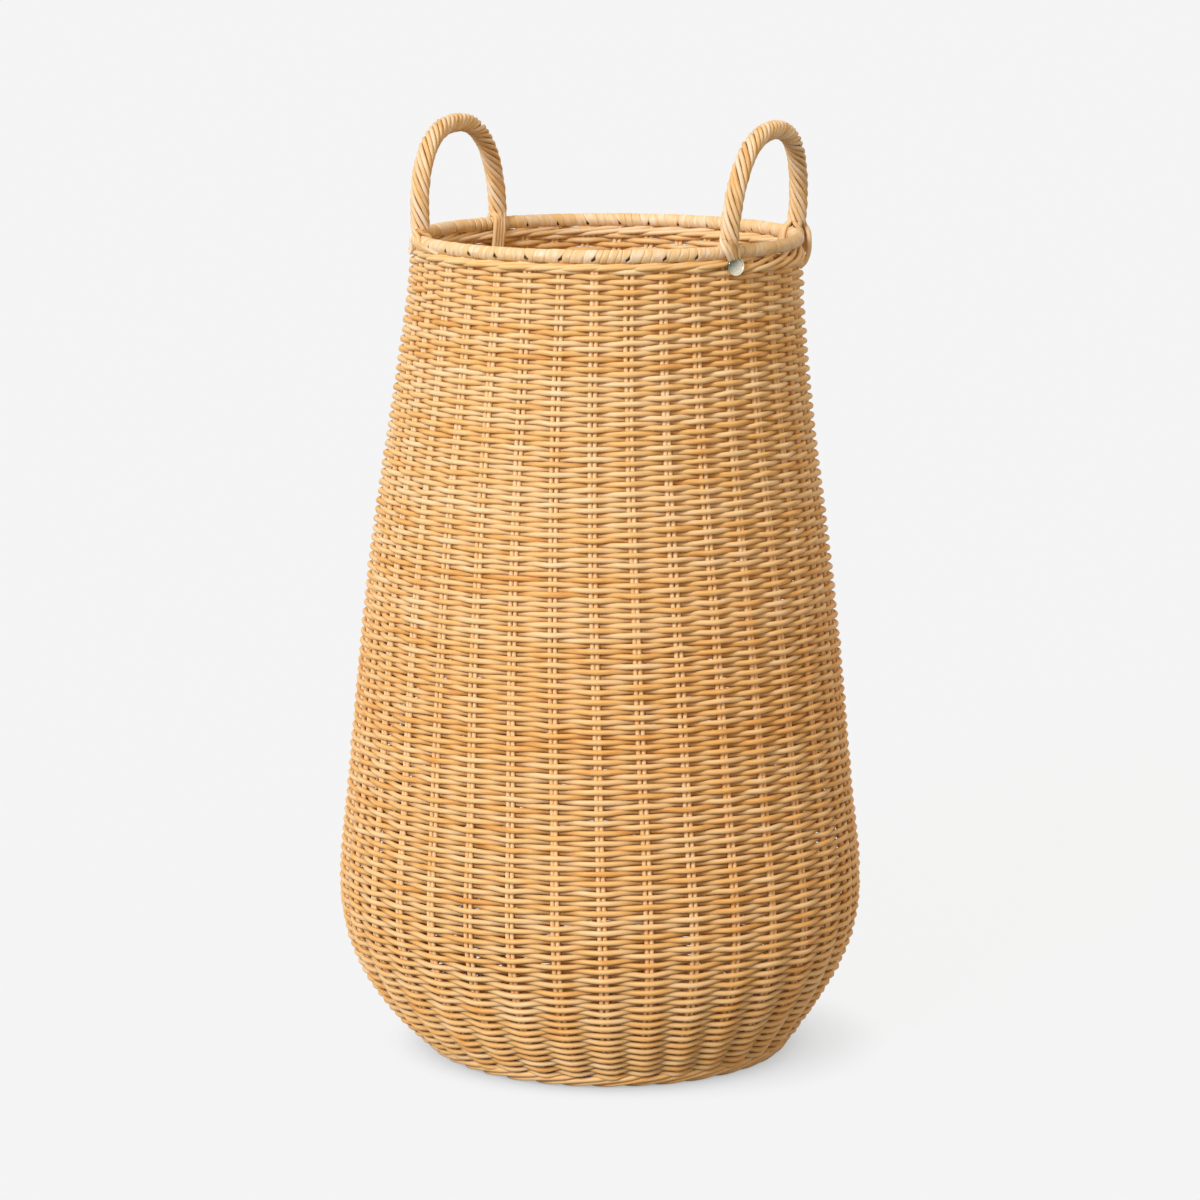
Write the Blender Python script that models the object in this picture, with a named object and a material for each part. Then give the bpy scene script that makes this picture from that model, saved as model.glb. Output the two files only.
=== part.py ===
"""Belly basket: a pear-shaped rattan basket with a bound rim and two rope handles.

Metres, +Z up. The origin is on the floor below the middle of the belly, and the
handles stand over +X and -X. Every piece is a separate closed solid.
"""
import math

import bmesh
import bpy
import numpy as np
from mathutils import Matrix, Vector

# Rods and canes
WEAVER = 0.0030                # one round weaver, through
STAKE_ROD = 0.0030             # one upright rod; a stake is two of them side by side
STAKE_CHAMFER = 0.0010         # how far the round side of a stake reaches in from its edge
SPLIT_CANE = 0.0009            # the flat cane wound round the rim
CLEARANCE = 0.0003             # between pieces that touch
CUT_OVERRUN = 0.0020           # how far a cut runs past the face that it opens

# Body, measured outside
STAKE_COUNT = 36
FOOT_RADIUS = 0.1368
BELLY_RADIUS = 0.2000
BELLY_HEIGHT = 0.1250
MOUTH_RADIUS = 0.1470
RIM_HEIGHT = 0.6194            # the middle of the rim's hoop
# Above the belly: share of the way up to the rim, share of the way in to the mouth
SIDE_SHARES = ((0.0, 0.0), (0.172, 0.142), (0.475, 0.423), (0.839, 0.883), (1.0, 1.0))
SLOPE_SHARE = 0.002            # share of the rim's height over which a slope is measured

# What hand work does to the shape
FIRST_STAKE = math.radians(6.4)      # where the first stake meets the rim, from +X
TWIST = math.radians(5.2)            # how far the stakes wind round between foot and rim
LEAN_HEADING = math.radians(20.0)    # foot and mouth both sit a little to this side
FOOT_LEAN = 0.0065
FOOT_LEAN_HEIGHT = 0.0600
MOUTH_LEAN = 0.0055
MOUTH_LEAN_START_SHARE = 0.61        # share of the rim's height where the lean begins

# Foot and base
FOOT_BORDER_HEIGHT = 0.0120
FOOT_BORDER_WIDTH = 0.0200
FOOT_REST_WIDTH = 0.0068             # the flat ring that stands on the floor
FOOT_BULGE_SHARE = 0.45              # height of the border's bulge, share of its height
FOOT_INSET_SHARE = 0.12              # how far the inner side slopes, share of its width
BASE_CROSS_WIDTH = 0.0220
BASE_CROSS_END = 0.0060              # from the bundle's end to the edge of the base

# Weave bands
UPSETT_TOP = 0.0500
LOWER_WEAVE_SHARE = 0.105            # where each weave ends, share of the woven side
BELLY_WEAVE_SHARE = 0.24
MIDDLE_WEAVE_SHARE = 0.64
UPSETT_SHARES = (0.45, 1.0)          # heights where a band bends, shares of the band
LOWER_SHARES = (0.46, 1.0)
BELLY_SHARES = (0.23, 0.57, 1.0)
MIDDLE_SHARES = (0.5, 1.0)
UPPER_SHARES = (0.5, 1.0)

# Rim
BINDING_RADIUS = 0.0052
BINDING_SLOT = math.radians(35.0)    # half the gap under the binding, where the stakes enter
BORDER_HEIGHT = 0.0140
BINDING_STEPS = 8
HOOP_SIDES = 8

# Handles
HANDLE_HEIGHT = 0.0820               # middle of the rope over the middle of the hoop
HANDLE_HALF_SPAN = math.radians(33.5)
ROPE_RADIUS = 0.0070
ROPE_STRAND = 0.0027                 # thickness of the strands laid round the core
ARCH_POWER = 2.4                     # 2 is an ellipse, more is squarer shoulders
ARCH_STEPS = 16
ROPE_SIDES = 8
LEFT_HANDLE_OFFSET = 0.0             # how far outside the hoop's middle the feet stand
RIGHT_HANDLE_OFFSET = 0.0050
LEFT_HANDLE_LEAN = 0.0036            # how far out the top leans
RIGHT_HANDLE_LEAN = 0.0060

# Handle feet, strand ends that straddle the rim
FOOT_STRAND = 0.0030
FOOT_STRAND_WIDTH = 0.0130
INSIDE_END = 0.0460                  # how far the ends run down inside, below the hoop
OUTSIDE_END = 0.0150                 # how far they run down outside
OUTSIDE_END_AT_TAG = 0.0038          # shorter where the tag sits below them
INSIDE_END_AT_TAG = 0.0070           # and where its washer does
SADDLE_STEPS = 6

# Tag, a plain round stud
TAG_RADIUS = 0.0070
TAG_EDGE = 0.0008
TAG_DOME = 0.0016
TAG_SHANK = 0.0010
TAG_BESIDE_STAKE = 0.0043            # from the middle of the stake to the shank
TAG_BELOW_HOOP = 0.0114
WASHER_RADIUS = 0.0035
WASHER_THICKNESS = 0.0008
SHANK_END = 0.0006                   # what shows of the shank past its washer
TAG_SIDES = 16
SHANK_SIDES = 8
DOME_SHARES = ((0.0, 1.0), (0.38, 0.86), (0.72, 0.5), (1.0, 0.0))

# Colours
PALE_RATTAN = (0.72, 0.48, 0.24)
RATTAN = (0.65, 0.40, 0.18)
WARM_RATTAN = (0.60, 0.35, 0.15)
BRASS = (0.78, 0.66, 0.42)
RATTAN_ROUGHNESS = 0.55
BRASS_ROUGHNESS = 0.30
SMOOTH_ANGLE = math.radians(50.0)      # edges that turn less than this are shaded round

# Worked out from the sizes above
PITCH = 2.0 * math.pi / STAKE_COUNT
WALL = 2.0 * WEAVER + STAKE_ROD + 2.0 * CLEARANCE
STAKE_DEPTH = WEAVER + CLEARANCE
GROOVE_DEPTH = STAKE_DEPTH + STAKE_ROD + CLEARANCE
RIM_RADIUS = MOUTH_RADIUS - 0.5 * WALL
HOOP_RADIUS = BINDING_RADIUS - SPLIT_CANE - CLEARANCE
BASE_BOTTOM = FOOT_BORDER_HEIGHT + CLEARANCE
BASE_TOP = BASE_BOTTOM + WALL
BORDER_TOP = RIM_HEIGHT - BINDING_RADIUS * math.cos(BINDING_SLOT) - CLEARANCE
BORDER_BOTTOM = BORDER_TOP - BORDER_HEIGHT
WEAVE_TOP = BORDER_BOTTOM - CLEARANCE
LOWER_WEAVE_TOP = UPSETT_TOP + LOWER_WEAVE_SHARE * (WEAVE_TOP - UPSETT_TOP)
BELLY_WEAVE_TOP = UPSETT_TOP + BELLY_WEAVE_SHARE * (WEAVE_TOP - UPSETT_TOP)
MIDDLE_WEAVE_TOP = UPSETT_TOP + MIDDLE_WEAVE_SHARE * (WEAVE_TOP - UPSETT_TOP)
STAKE_TOP = RIM_HEIGHT - HOOP_RADIUS - CLEARANCE
SADDLE_TOP = RIM_HEIGHT + BINDING_RADIUS + CLEARANCE + FOOT_STRAND
ROPE_FOOT = SADDLE_TOP + CLEARANCE
CORE_RADIUS = ROPE_RADIUS - ROPE_STRAND - CLEARANCE
STAKE_AZIMUTHS = FIRST_STAKE + PITCH * np.arange(STAKE_COUNT)


def share_in(share_up):
    """Read how far in the side has come from a smooth curve through SIDE_SHARES."""
    ups = [up for up, inward in SIDE_SHARES]
    ins = [inward for up, inward in SIDE_SHARES]
    last = len(ups) - 1
    i = 0
    while i < last - 1 and share_up > ups[i + 1]:
        i += 1
    slopes = []
    for j in (i, i + 1):
        if j in (0, last):
            slopes.append(0.0)
        else:
            slopes.append((ins[j + 1] - ins[j - 1]) / (ups[j + 1] - ups[j - 1]))
    span = ups[i + 1] - ups[i]
    t = (share_up - ups[i]) / span
    rise = t * t * (3.0 - 2.0 * t)
    start = span * slopes[0] * t * (1.0 - t) ** 2
    end = span * slopes[1] * t * t * (1.0 - t)
    return ins[i] + (ins[i + 1] - ins[i]) * rise + start - end


def side_radius(height):
    """Outer radius of the body: a parabola below the belly, a smooth curve above it."""
    if height < BELLY_HEIGHT:
        below = 1.0 - height / BELLY_HEIGHT
        return BELLY_RADIUS - (BELLY_RADIUS - FOOT_RADIUS) * below * below
    up = min(1.0, (height - BELLY_HEIGHT) / (RIM_HEIGHT - BELLY_HEIGHT))
    return BELLY_RADIUS - (BELLY_RADIUS - MOUTH_RADIUS) * share_in(up)


def level_depth(height, depth):
    """A depth square to the wall, measured along a level line instead."""
    step = SLOPE_SHARE * RIM_HEIGHT
    run = side_radius(height + step) - side_radius(height - step)
    slope = run / (2.0 * step)
    return depth * math.sqrt(1.0 + slope * slope)


def radius_inside(height, depth):
    """Radius of the surface that lies this deep inside the body's outer one."""
    return side_radius(height) - level_depth(height, depth)


def settle(points):
    """Wind the upright work round the axis and shift foot and mouth off it."""
    points = np.array(points, dtype=float)
    height = np.minimum(points[:, 2], RIM_HEIGHT)
    turn = TWIST * (1.0 - height / RIM_HEIGHT)
    start = MOUTH_LEAN_START_SHARE * RIM_HEIGHT
    above = np.clip((height - start) / (RIM_HEIGHT - start), 0.0, 1.0)
    below = np.clip(1.0 - height / FOOT_LEAN_HEIGHT, 0.0, 1.0)
    lean = MOUTH_LEAN * above ** 2 + FOOT_LEAN * below ** 2
    x = points[:, 0] * np.cos(turn) - points[:, 1] * np.sin(turn)
    y = points[:, 0] * np.sin(turn) + points[:, 1] * np.cos(turn)
    x = x + lean * math.cos(LEAN_HEADING)
    y = y + lean * math.sin(LEAN_HEADING)
    return np.column_stack((x, y, points[:, 2]))


def material(name, colour, roughness, metallic):
    """One plain finish for one sub-part."""
    finish = bpy.data.materials.new(name)
    finish.use_nodes = True
    shader = finish.node_tree.nodes["Principled BSDF"]
    shader.inputs["Base Color"].default_value = (*colour, 1.0)
    shader.inputs["Roughness"].default_value = roughness
    shader.inputs["Metallic"].default_value = metallic
    finish.diffuse_color = (*colour, 1.0)
    return finish


def add_piece(name, points, faces, colour):
    """Make one closed solid, settle it as the hand work did, and give it its finish."""
    mesh = bpy.data.meshes.new(name)
    mesh.from_pydata(settle(points).tolist(), [], faces)
    mesh.shade_smooth()
    mesh.set_sharp_from_angle(angle=SMOOTH_ANGLE)
    piece = bpy.data.objects.new(name, mesh)
    metallic = 1.0 if colour is BRASS else 0.0
    roughness = BRASS_ROUGHNESS if colour is BRASS else RATTAN_ROUGHNESS
    mesh.materials.append(material(name + "_finish", colour, roughness, metallic))
    bpy.context.scene.collection.objects.link(piece)
    return piece


def cut(piece, cutter):
    """Take one solid's shape out of another."""
    cutter.hide_render = True
    cutter.display_type = "WIRE"
    boolean = piece.modifiers.new("cut_" + cutter.name, "BOOLEAN")
    boolean.operation = "DIFFERENCE"
    boolean.solver = "EXACT"
    boolean.object = cutter


def facet(azimuth):
    """How far a flat between two stakes lies inside the circle through them."""
    across = (azimuth - FIRST_STAKE) % PITCH - 0.5 * PITCH
    return math.cos(0.5 * PITCH) / math.cos(across)


def loop_faces(rings, steps, closed):
    """Quads between rings of points laid one after the other."""
    faces = []
    count = rings if closed else rings - 1
    for i in range(count):
        for j in range(steps):
            here = i * steps
            after = ((i + 1) % rings) * steps
            k = (j + 1) % steps
            faces.append((here + j, after + j, after + k, here + k))
    return faces


def turn_section(section, azimuths, closed=True):
    """Carry a section of (radius, height) points round the axis, from stake to stake."""
    points = []
    for azimuth in azimuths:
        inset = facet(azimuth)
        for radius, height in section:
            x = radius * inset * math.cos(azimuth)
            y = radius * inset * math.sin(azimuth)
            points.append((x, y, height))
    faces = loop_faces(len(azimuths), len(section), closed)
    if not closed:
        count = len(points)
        faces.append(tuple(range(len(section))))
        faces.append(tuple(range(count - 1, count - 1 - len(section), -1)))
    return points, faces


def wall_level(height):
    """Points of the wall at one height: a grooved outer loop, then a plain inner one."""
    outer = side_radius(height)
    floor = radius_inside(height, GROOVE_DEPTH)
    inner = radius_inside(height, WALL)
    half = STAKE_ROD + CLEARANCE
    points = []
    for azimuth in STAKE_AZIMUTHS:
        out = np.array((math.cos(azimuth), math.sin(azimuth)))
        along = np.array((-out[1], out[0]))
        for radius, side in ((outer, -half), (floor, -half), (floor, half), (outer, half)):
            x, y = out * radius + along * side
            points.append((x, y, height))
    for azimuth in STAKE_AZIMUTHS + 0.5 * PITCH:
        points.append((inner * math.cos(azimuth), inner * math.sin(azimuth), height))
    return points


def wall_cap(first):
    """Faces that close the wall at one height, seen from above."""
    outer = 4 * STAKE_COUNT
    faces = []
    for k in range(STAKE_COUNT):
        following = 4 * ((k + 1) % STAKE_COUNT)
        here = 4 * k
        inner = outer + k
        before = outer + (k - 1) % STAKE_COUNT
        between = (here + 3, following, following + 1, inner, here + 2)
        under = (here + 1, here + 2, inner, before)
        faces.append(tuple(first + i for i in between))
        faces.append(tuple(first + i for i in under))
    return faces


def wall_band(name, heights, colour):
    """One band of weaving, as thick as the wall, with a groove for each stake."""
    outer = 4 * STAKE_COUNT
    level = 5 * STAKE_COUNT
    points = []
    for height in heights:
        points.extend(wall_level(height))
    faces = []
    for i in range(len(heights) - 1):
        low = i * level
        high = low + level
        for j in range(outer):
            k = (j + 1) % outer
            faces.append((low + j, low + k, high + k, high + j))
        for j in range(STAKE_COUNT):
            k = (j + 1) % STAKE_COUNT
            a = outer + j
            b = outer + k
            faces.append((low + b, low + a, high + a, high + b))
    faces.extend(wall_cap((len(heights) - 1) * level))
    faces.extend(tuple(reversed(face)) for face in wall_cap(0))
    return add_piece(name, points, faces, colour)


def band_heights(bottom, top, shares):
    """The heights at which a band bends, its bottom first."""
    return [bottom] + [bottom + share * (top - bottom) for share in shares]


def weave_heights():
    """Each band of weaving with the heights at which it bends."""
    upsett = [BASE_BOTTOM] + band_heights(BASE_TOP, UPSETT_TOP, UPSETT_SHARES)
    lower = band_heights(UPSETT_TOP + CLEARANCE, LOWER_WEAVE_TOP, LOWER_SHARES)
    belly = band_heights(LOWER_WEAVE_TOP + CLEARANCE, BELLY_WEAVE_TOP, BELLY_SHARES)
    middle = band_heights(BELLY_WEAVE_TOP + CLEARANCE, MIDDLE_WEAVE_TOP, MIDDLE_SHARES)
    upper = band_heights(MIDDLE_WEAVE_TOP + CLEARANCE, WEAVE_TOP, UPPER_SHARES)
    return upsett, lower, belly, middle, upper


def stake_heights():
    """A stake bends where the bands round it bend, and ends under the hoop."""
    upsett, lower, belly, middle, upper = weave_heights()
    return upsett + lower[1:] + belly[1:] + middle[1:] + upper[1:] + [STAKE_TOP]


def add_stake(number, azimuth):
    """Two upright rods side by side, as one flat-sided pair."""
    half_width = STAKE_ROD
    half_depth = 0.5 * STAKE_ROD
    side = half_width - STAKE_CHAMFER
    section = (
        (-half_width, 0.0), (-side, -half_depth), (side, -half_depth),
        (half_width, 0.0), (side, half_depth), (-side, half_depth),
    )
    out = (math.cos(azimuth), math.sin(azimuth))
    heights = stake_heights()
    points = []
    for height in heights:
        middle = radius_inside(height, STAKE_DEPTH + half_depth)
        for across, depth in section:
            radius = middle - level_depth(height, depth)
            x = radius * out[0] - across * out[1]
            y = radius * out[1] + across * out[0]
            points.append((x, y, height))
    faces = loop_faces(len(heights), len(section), closed=False)
    faces = [tuple(reversed(face)) for face in faces]
    count = len(points)
    steps = len(section)
    faces.append(tuple(reversed(range(steps))))
    faces.append(tuple(range(count - steps, count)))
    return flip_if_inside_out(add_piece("stake_%02d" % number, points, faces, PALE_RATTAN))


def flip_if_inside_out(piece):
    """Turn all faces of a closed solid outwards."""
    shape = bmesh.new()
    shape.from_mesh(piece.data)
    bmesh.ops.recalc_face_normals(shape, faces=shape.faces)
    shape.to_mesh(piece.data)
    shape.free()
    return piece


def add_foot_border():
    """The plaited border that the basket stands on, flat underneath."""
    bulge = FOOT_BULGE_SHARE * FOOT_BORDER_HEIGHT
    inner = side_radius(FOOT_BORDER_HEIGHT) - FOOT_BORDER_WIDTH
    inset = FOOT_INSET_SHARE * FOOT_BORDER_WIDTH
    section = (
        (FOOT_RADIUS - FOOT_REST_WIDTH, 0.0),
        (FOOT_RADIUS, 0.0),
        (side_radius(bulge), bulge),
        (side_radius(FOOT_BORDER_HEIGHT), FOOT_BORDER_HEIGHT),
        (inner, FOOT_BORDER_HEIGHT),
        (inner - inset, bulge),
    )
    points, faces = turn_section(section, STAKE_AZIMUTHS)
    return add_piece("foot_border", points, faces, WARM_RATTAN)


def add_block(name, low, high, colour):
    """A block between two corners."""
    points = [(x, y, z) for z in (low[2], high[2])
              for x, y in ((low[0], low[1]), (high[0], low[1]),
                           (high[0], high[1]), (low[0], high[1]))]
    faces = [(3, 2, 1, 0), (4, 5, 6, 7), (0, 1, 5, 4),
             (1, 2, 6, 5), (2, 3, 7, 6), (3, 0, 4, 7)]
    return add_piece(name, points, faces, colour)


def base_edge(height):
    """Radius of the base's corners at one height, inside the wall."""
    low = radius_inside(BASE_BOTTOM, WALL + CLEARANCE)
    high = radius_inside(BASE_TOP, WALL + CLEARANCE)
    return low + (high - low) * (height - BASE_BOTTOM) / (BASE_TOP - BASE_BOTTOM)


def add_base():
    """The round woven base, with the two bundles of sticks that it is begun on."""
    points = []
    for height in (BASE_BOTTOM, BASE_TOP):
        for azimuth in STAKE_AZIMUTHS + 0.5 * PITCH:
            radius = base_edge(height)
            points.append((radius * math.cos(azimuth), radius * math.sin(azimuth), height))
    faces = [tuple(reversed(range(STAKE_COUNT)))]
    faces.append(tuple(range(STAKE_COUNT, 2 * STAKE_COUNT)))
    for j in range(STAKE_COUNT):
        k = (j + 1) % STAKE_COUNT
        faces.append((j, k, STAKE_COUNT + k, STAKE_COUNT + j))
    base = add_piece("base_weave", points, faces, RATTAN)

    reach = base_edge(BASE_BOTTOM) - BASE_CROSS_END
    past = base_edge(BASE_TOP) + CUT_OVERRUN
    half = 0.5 * BASE_CROSS_WIDTH
    slot = half + CLEARANCE
    under_top = BASE_BOTTOM + STAKE_ROD
    over_bottom = BASE_TOP - STAKE_ROD
    under_cut = add_block("under_cut", (-past, -slot, BASE_BOTTOM - CUT_OVERRUN),
                          (past, slot, under_top + CLEARANCE), RATTAN)
    over_cut = add_block("over_cut", (-slot, -past, over_bottom - CLEARANCE),
                         (slot, past, BASE_TOP + CUT_OVERRUN), RATTAN)
    cut(base, under_cut)
    cut(base, over_cut)
    add_block("base_sticks_under", (-reach, -half, BASE_BOTTOM),
              (reach, half, under_top), PALE_RATTAN)
    add_block("base_sticks_over", (-half, -reach, over_bottom),
              (half, reach, BASE_TOP), PALE_RATTAN)


def border_section(outer_depth, inner_depth):
    """Section of a border strand ring between two depths of the wall."""
    return [(radius_inside(height, depth), height)
            for height, depth in ((BORDER_BOTTOM, inner_depth), (BORDER_BOTTOM, outer_depth),
                                  (BORDER_TOP, outer_depth), (BORDER_TOP, inner_depth))]


def add_borders():
    """The border strands turned down outside and inside the stakes, under the rim."""
    outside = turn_section(border_section(0.0, WEAVER), STAKE_AZIMUTHS)
    inside = turn_section(border_section(WALL - WEAVER, WALL), STAKE_AZIMUTHS)
    outer = add_piece("top_border_outside", *outside, RATTAN)
    inner = add_piece("top_border_inside", *inside, RATTAN)
    return outer, inner


def add_hoop():
    """The thick rod that stiffens the mouth."""
    section = []
    for i in range(HOOP_SIDES):
        angle = 2.0 * math.pi * i / HOOP_SIDES
        section.append((RIM_RADIUS + HOOP_RADIUS * math.cos(angle),
                        RIM_HEIGHT + HOOP_RADIUS * math.sin(angle)))
    return add_piece("rim_hoop", *turn_section(section, STAKE_AZIMUTHS), WARM_RATTAN)


def binding_arc(radius, steps):
    """Points round the hoop, from the outer lip of the slot over the top to the inner."""
    start = -0.5 * math.pi + BINDING_SLOT
    sweep = 2.0 * (math.pi - BINDING_SLOT)
    arc = []
    for i in range(steps + 1):
        angle = start + sweep * i / steps
        arc.append((RIM_RADIUS + radius * math.cos(angle),
                    RIM_HEIGHT + radius * math.sin(angle)))
    return arc


def add_binding():
    """The cane wound round the hoop, as one skin that is open where the stakes enter."""
    snug = (HOOP_RADIUS + CLEARANCE) / math.cos(math.pi / HOOP_SIDES)
    outer = binding_arc(BINDING_RADIUS, BINDING_STEPS)
    inner = binding_arc(min(snug, BINDING_RADIUS - 0.5 * SPLIT_CANE), BINDING_STEPS)
    section = outer + inner[::-1]
    return add_piece("rim_binding", *turn_section(section, STAKE_AZIMUTHS), PALE_RATTAN)


def rope_path(offset, lean):
    """Middle of a handle's rope: a squared arch from foot to foot, leaning outwards.

    The first value is measured outwards from the axis, the second along the rim.
    """
    outward = (RIM_RADIUS + offset) * math.cos(HANDLE_HALF_SPAN)
    half = (RIM_RADIUS + offset) * math.sin(HANDLE_HALF_SPAN)
    rise = RIM_HEIGHT + HANDLE_HEIGHT - ROPE_FOOT
    path = []
    for i in range(ARCH_STEPS + 1):
        angle = math.pi * i / ARCH_STEPS
        across = math.copysign(abs(math.cos(angle)) ** (2.0 / ARCH_POWER), math.cos(angle))
        up = abs(math.sin(angle)) ** (2.0 / ARCH_POWER) if 0 < i < ARCH_STEPS else 0.0
        path.append(Vector((outward + lean * up, half * across, ROPE_FOOT + rise * up)))
    return path


def rope_rings(path, radii, sides, heading):
    """Rings of points square to a path; the end rings lie level on what carries them."""
    points = []
    spin = Matrix.Rotation(heading, 3, "Z")
    for radius in radii:
        for i, middle in enumerate(path):
            along = path[min(i + 1, len(path) - 1)] - path[max(i - 1, 0)]
            if i in (0, len(path) - 1):
                along = Vector((0.0, 0.0, 1.0 if i == 0 else -1.0))
            along.normalize()
            outward = Vector((1.0, 0.0, 0.0))
            outward = (outward - along * outward.dot(along)).normalized()
            side = along.cross(outward)
            for j in range(sides):
                angle = 2.0 * math.pi * (j + 0.5) / sides
                point = middle + radius * (math.cos(angle) * outward + math.sin(angle) * side)
                points.append(tuple(spin @ point))
    return points


def add_handle(side, heading, offset, lean):
    """One handle: a stout core rod with strands laid round it."""
    path = rope_path(offset, lean)
    rings = len(path)
    core_points = rope_rings(path, (CORE_RADIUS,), ROPE_SIDES, heading)
    core_faces = loop_faces(rings, ROPE_SIDES, closed=False)
    last = (rings - 1) * ROPE_SIDES
    core_faces.append(tuple(range(ROPE_SIDES)))
    core_faces.append(tuple(reversed(range(last, last + ROPE_SIDES))))
    core = add_piece(side + "_handle_core", core_points, core_faces, RATTAN)
    flip_if_inside_out(core)

    radii = (ROPE_RADIUS, ROPE_RADIUS - ROPE_STRAND)
    points = rope_rings(path, radii, ROPE_SIDES, heading)
    faces = loop_faces(rings, ROPE_SIDES, closed=False)
    inside = rings * ROPE_SIDES
    faces.extend(tuple(inside + i for i in reversed(face))
                 for face in loop_faces(rings, ROPE_SIDES, closed=False))
    for first in (0, last):
        for j in range(ROPE_SIDES):
            k = (j + 1) % ROPE_SIDES
            face = (first + j, first + k, inside + first + k, inside + first + j)
            faces.append(face if first else tuple(reversed(face)))
    strands = add_piece(side + "_handle_strands", points, faces, PALE_RATTAN)
    flip_if_inside_out(strands)


def saddle_section(outside_end, inside_end):
    """Section of the strand ends where they straddle the rim."""
    near = BINDING_RADIUS + CLEARANCE
    far = near + FOOT_STRAND
    low_inside = RIM_HEIGHT - inside_end
    wall_face = radius_inside(low_inside, WALL) * math.cos(0.5 * PITCH) - CLEARANCE
    hoop_face = RIM_RADIUS - near
    inside_face = min(hoop_face, radius_inside(BORDER_TOP, WALL) * math.cos(0.5 * PITCH) - CLEARANCE)
    foot_face = max(inside_face, min(wall_face, inside_face + level_depth(low_inside, CLEARANCE)))
    near_arc = []
    far_arc = []
    for i in range(SADDLE_STEPS + 1):
        angle = math.pi * i / SADDLE_STEPS
        near_arc.append((RIM_RADIUS + near * math.cos(angle), RIM_HEIGHT + near * math.sin(angle)))
        far_arc.append((RIM_RADIUS + far * math.cos(angle), RIM_HEIGHT + far * math.sin(angle)))
    outside = [(RIM_RADIUS + near, RIM_HEIGHT - outside_end),
               (RIM_RADIUS + far, RIM_HEIGHT - outside_end)]
    inside = [(foot_face - FOOT_STRAND, low_inside), (foot_face, low_inside)]
    return outside + far_arc + inside + near_arc[::-1]


def add_handle_feet(name, azimuth, outside_end, inside_end):
    """A handle's strand ends, laid over the rim and down both its sides."""
    half = 0.5 * FOOT_STRAND_WIDTH / RIM_RADIUS
    stops = {azimuth - half, azimuth + half}
    for stake in STAKE_AZIMUTHS:
        for turn in (-2.0 * math.pi, 0.0, 2.0 * math.pi):
            if abs(stake + turn - azimuth) < half:
                stops.add(stake + turn)
    points, faces = turn_section(saddle_section(outside_end, inside_end), sorted(stops), closed=False)
    return flip_if_inside_out(add_piece(name, points, faces, PALE_RATTAN))


def turned_about(outline, sides, place):
    """Turn a closed outline of (radius, along) points about an axis and put it in place."""
    points = []
    for radius, along in outline:
        for j in range(sides):
            angle = 2.0 * math.pi * j / sides
            point = Vector((radius * math.cos(angle), radius * math.sin(angle), along))
            points.append(tuple(place @ point))
    return points


def tag_place():
    """Where the tag sits: on the flat of the outer border, its axis square to it."""
    stake = round((-HANDLE_HALF_SPAN - FIRST_STAKE) / PITCH) * PITCH + FIRST_STAKE
    square = stake + 0.5 * PITCH
    height = RIM_HEIGHT - TAG_BELOW_HOOP
    flat = side_radius(height) * math.cos(0.5 * PITCH)
    across = TAG_BESIDE_STAKE - flat * math.tan(0.5 * PITCH)
    out = Vector((math.cos(square), math.sin(square), 0.0))
    along = Vector((-math.sin(square), math.cos(square), 0.0))
    up = Vector((0.0, 0.0, 1.0))
    turn = Matrix((along, up, out)).transposed().to_4x4()
    seat = out * (flat + CLEARANCE) + along * across + up * height
    return Matrix.Translation(seat) @ turn


def add_tag(borders):
    """A plain domed stud through both borders, with a washer inside."""
    place = tag_place()
    height = RIM_HEIGHT - TAG_BELOW_HOOP
    through = (side_radius(height) - radius_inside(height, WALL)) + 2.0 * CLEARANCE
    washer_front = -through
    washer_back = washer_front - WASHER_THICKNESS
    shank_end = washer_back - SHANK_END
    outline = [(TAG_RADIUS * out, TAG_EDGE + TAG_DOME * up) for out, up in DOME_SHARES[1:]]
    outline = outline + [(TAG_RADIUS, 0.0)]
    points = turned_about(outline, TAG_SIDES, place)
    points.append(tuple(place @ Vector((0.0, 0.0, TAG_EDGE + TAG_DOME))))
    top = len(points) - 1
    faces = loop_faces(len(outline), TAG_SIDES, closed=False)
    faces.extend((top, (j + 1) % TAG_SIDES, j) for j in range(TAG_SIDES))
    base_ring = (len(outline) - 1) * TAG_SIDES
    shank = [(TAG_SHANK, 0.0), (TAG_SHANK, shank_end)]
    shank_first = len(points)
    points.extend(turned_about(shank, TAG_SIDES, place))
    faces.extend(tuple(shank_first + i for i in face)
                 for face in loop_faces(2, TAG_SIDES, closed=False))
    for j in range(TAG_SIDES):
        k = (j + 1) % TAG_SIDES
        faces.append((base_ring + j, shank_first + j, shank_first + k, base_ring + k))
    last = shank_first + TAG_SIDES
    faces.append(tuple(range(last, last + TAG_SIDES)))
    flip_if_inside_out(add_piece("tag_stud", points, faces, BRASS))

    hole = TAG_SHANK + CLEARANCE
    ring = [(hole, washer_front), (WASHER_RADIUS, washer_front),
            (WASHER_RADIUS, washer_back), (hole, washer_back)]
    washer_points = turned_about(ring, TAG_SIDES, place)
    washer_faces = loop_faces(len(ring), TAG_SIDES, closed=True)
    flip_if_inside_out(add_piece("tag_washer", washer_points, washer_faces, BRASS))

    for number, border in enumerate(borders):
        ends = [(hole, CUT_OVERRUN), (hole, shank_end - CUT_OVERRUN)]
        drill_points = turned_about(ends, SHANK_SIDES, place)
        drill_faces = loop_faces(2, SHANK_SIDES, closed=False)
        drill_faces.append(tuple(range(SHANK_SIDES)))
        drill_faces.append(tuple(reversed(range(SHANK_SIDES, 2 * SHANK_SIDES))))
        drill = add_piece("tag_drill_%d" % number, drill_points, drill_faces, RATTAN)
        cut(border, flip_if_inside_out(drill))


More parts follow.
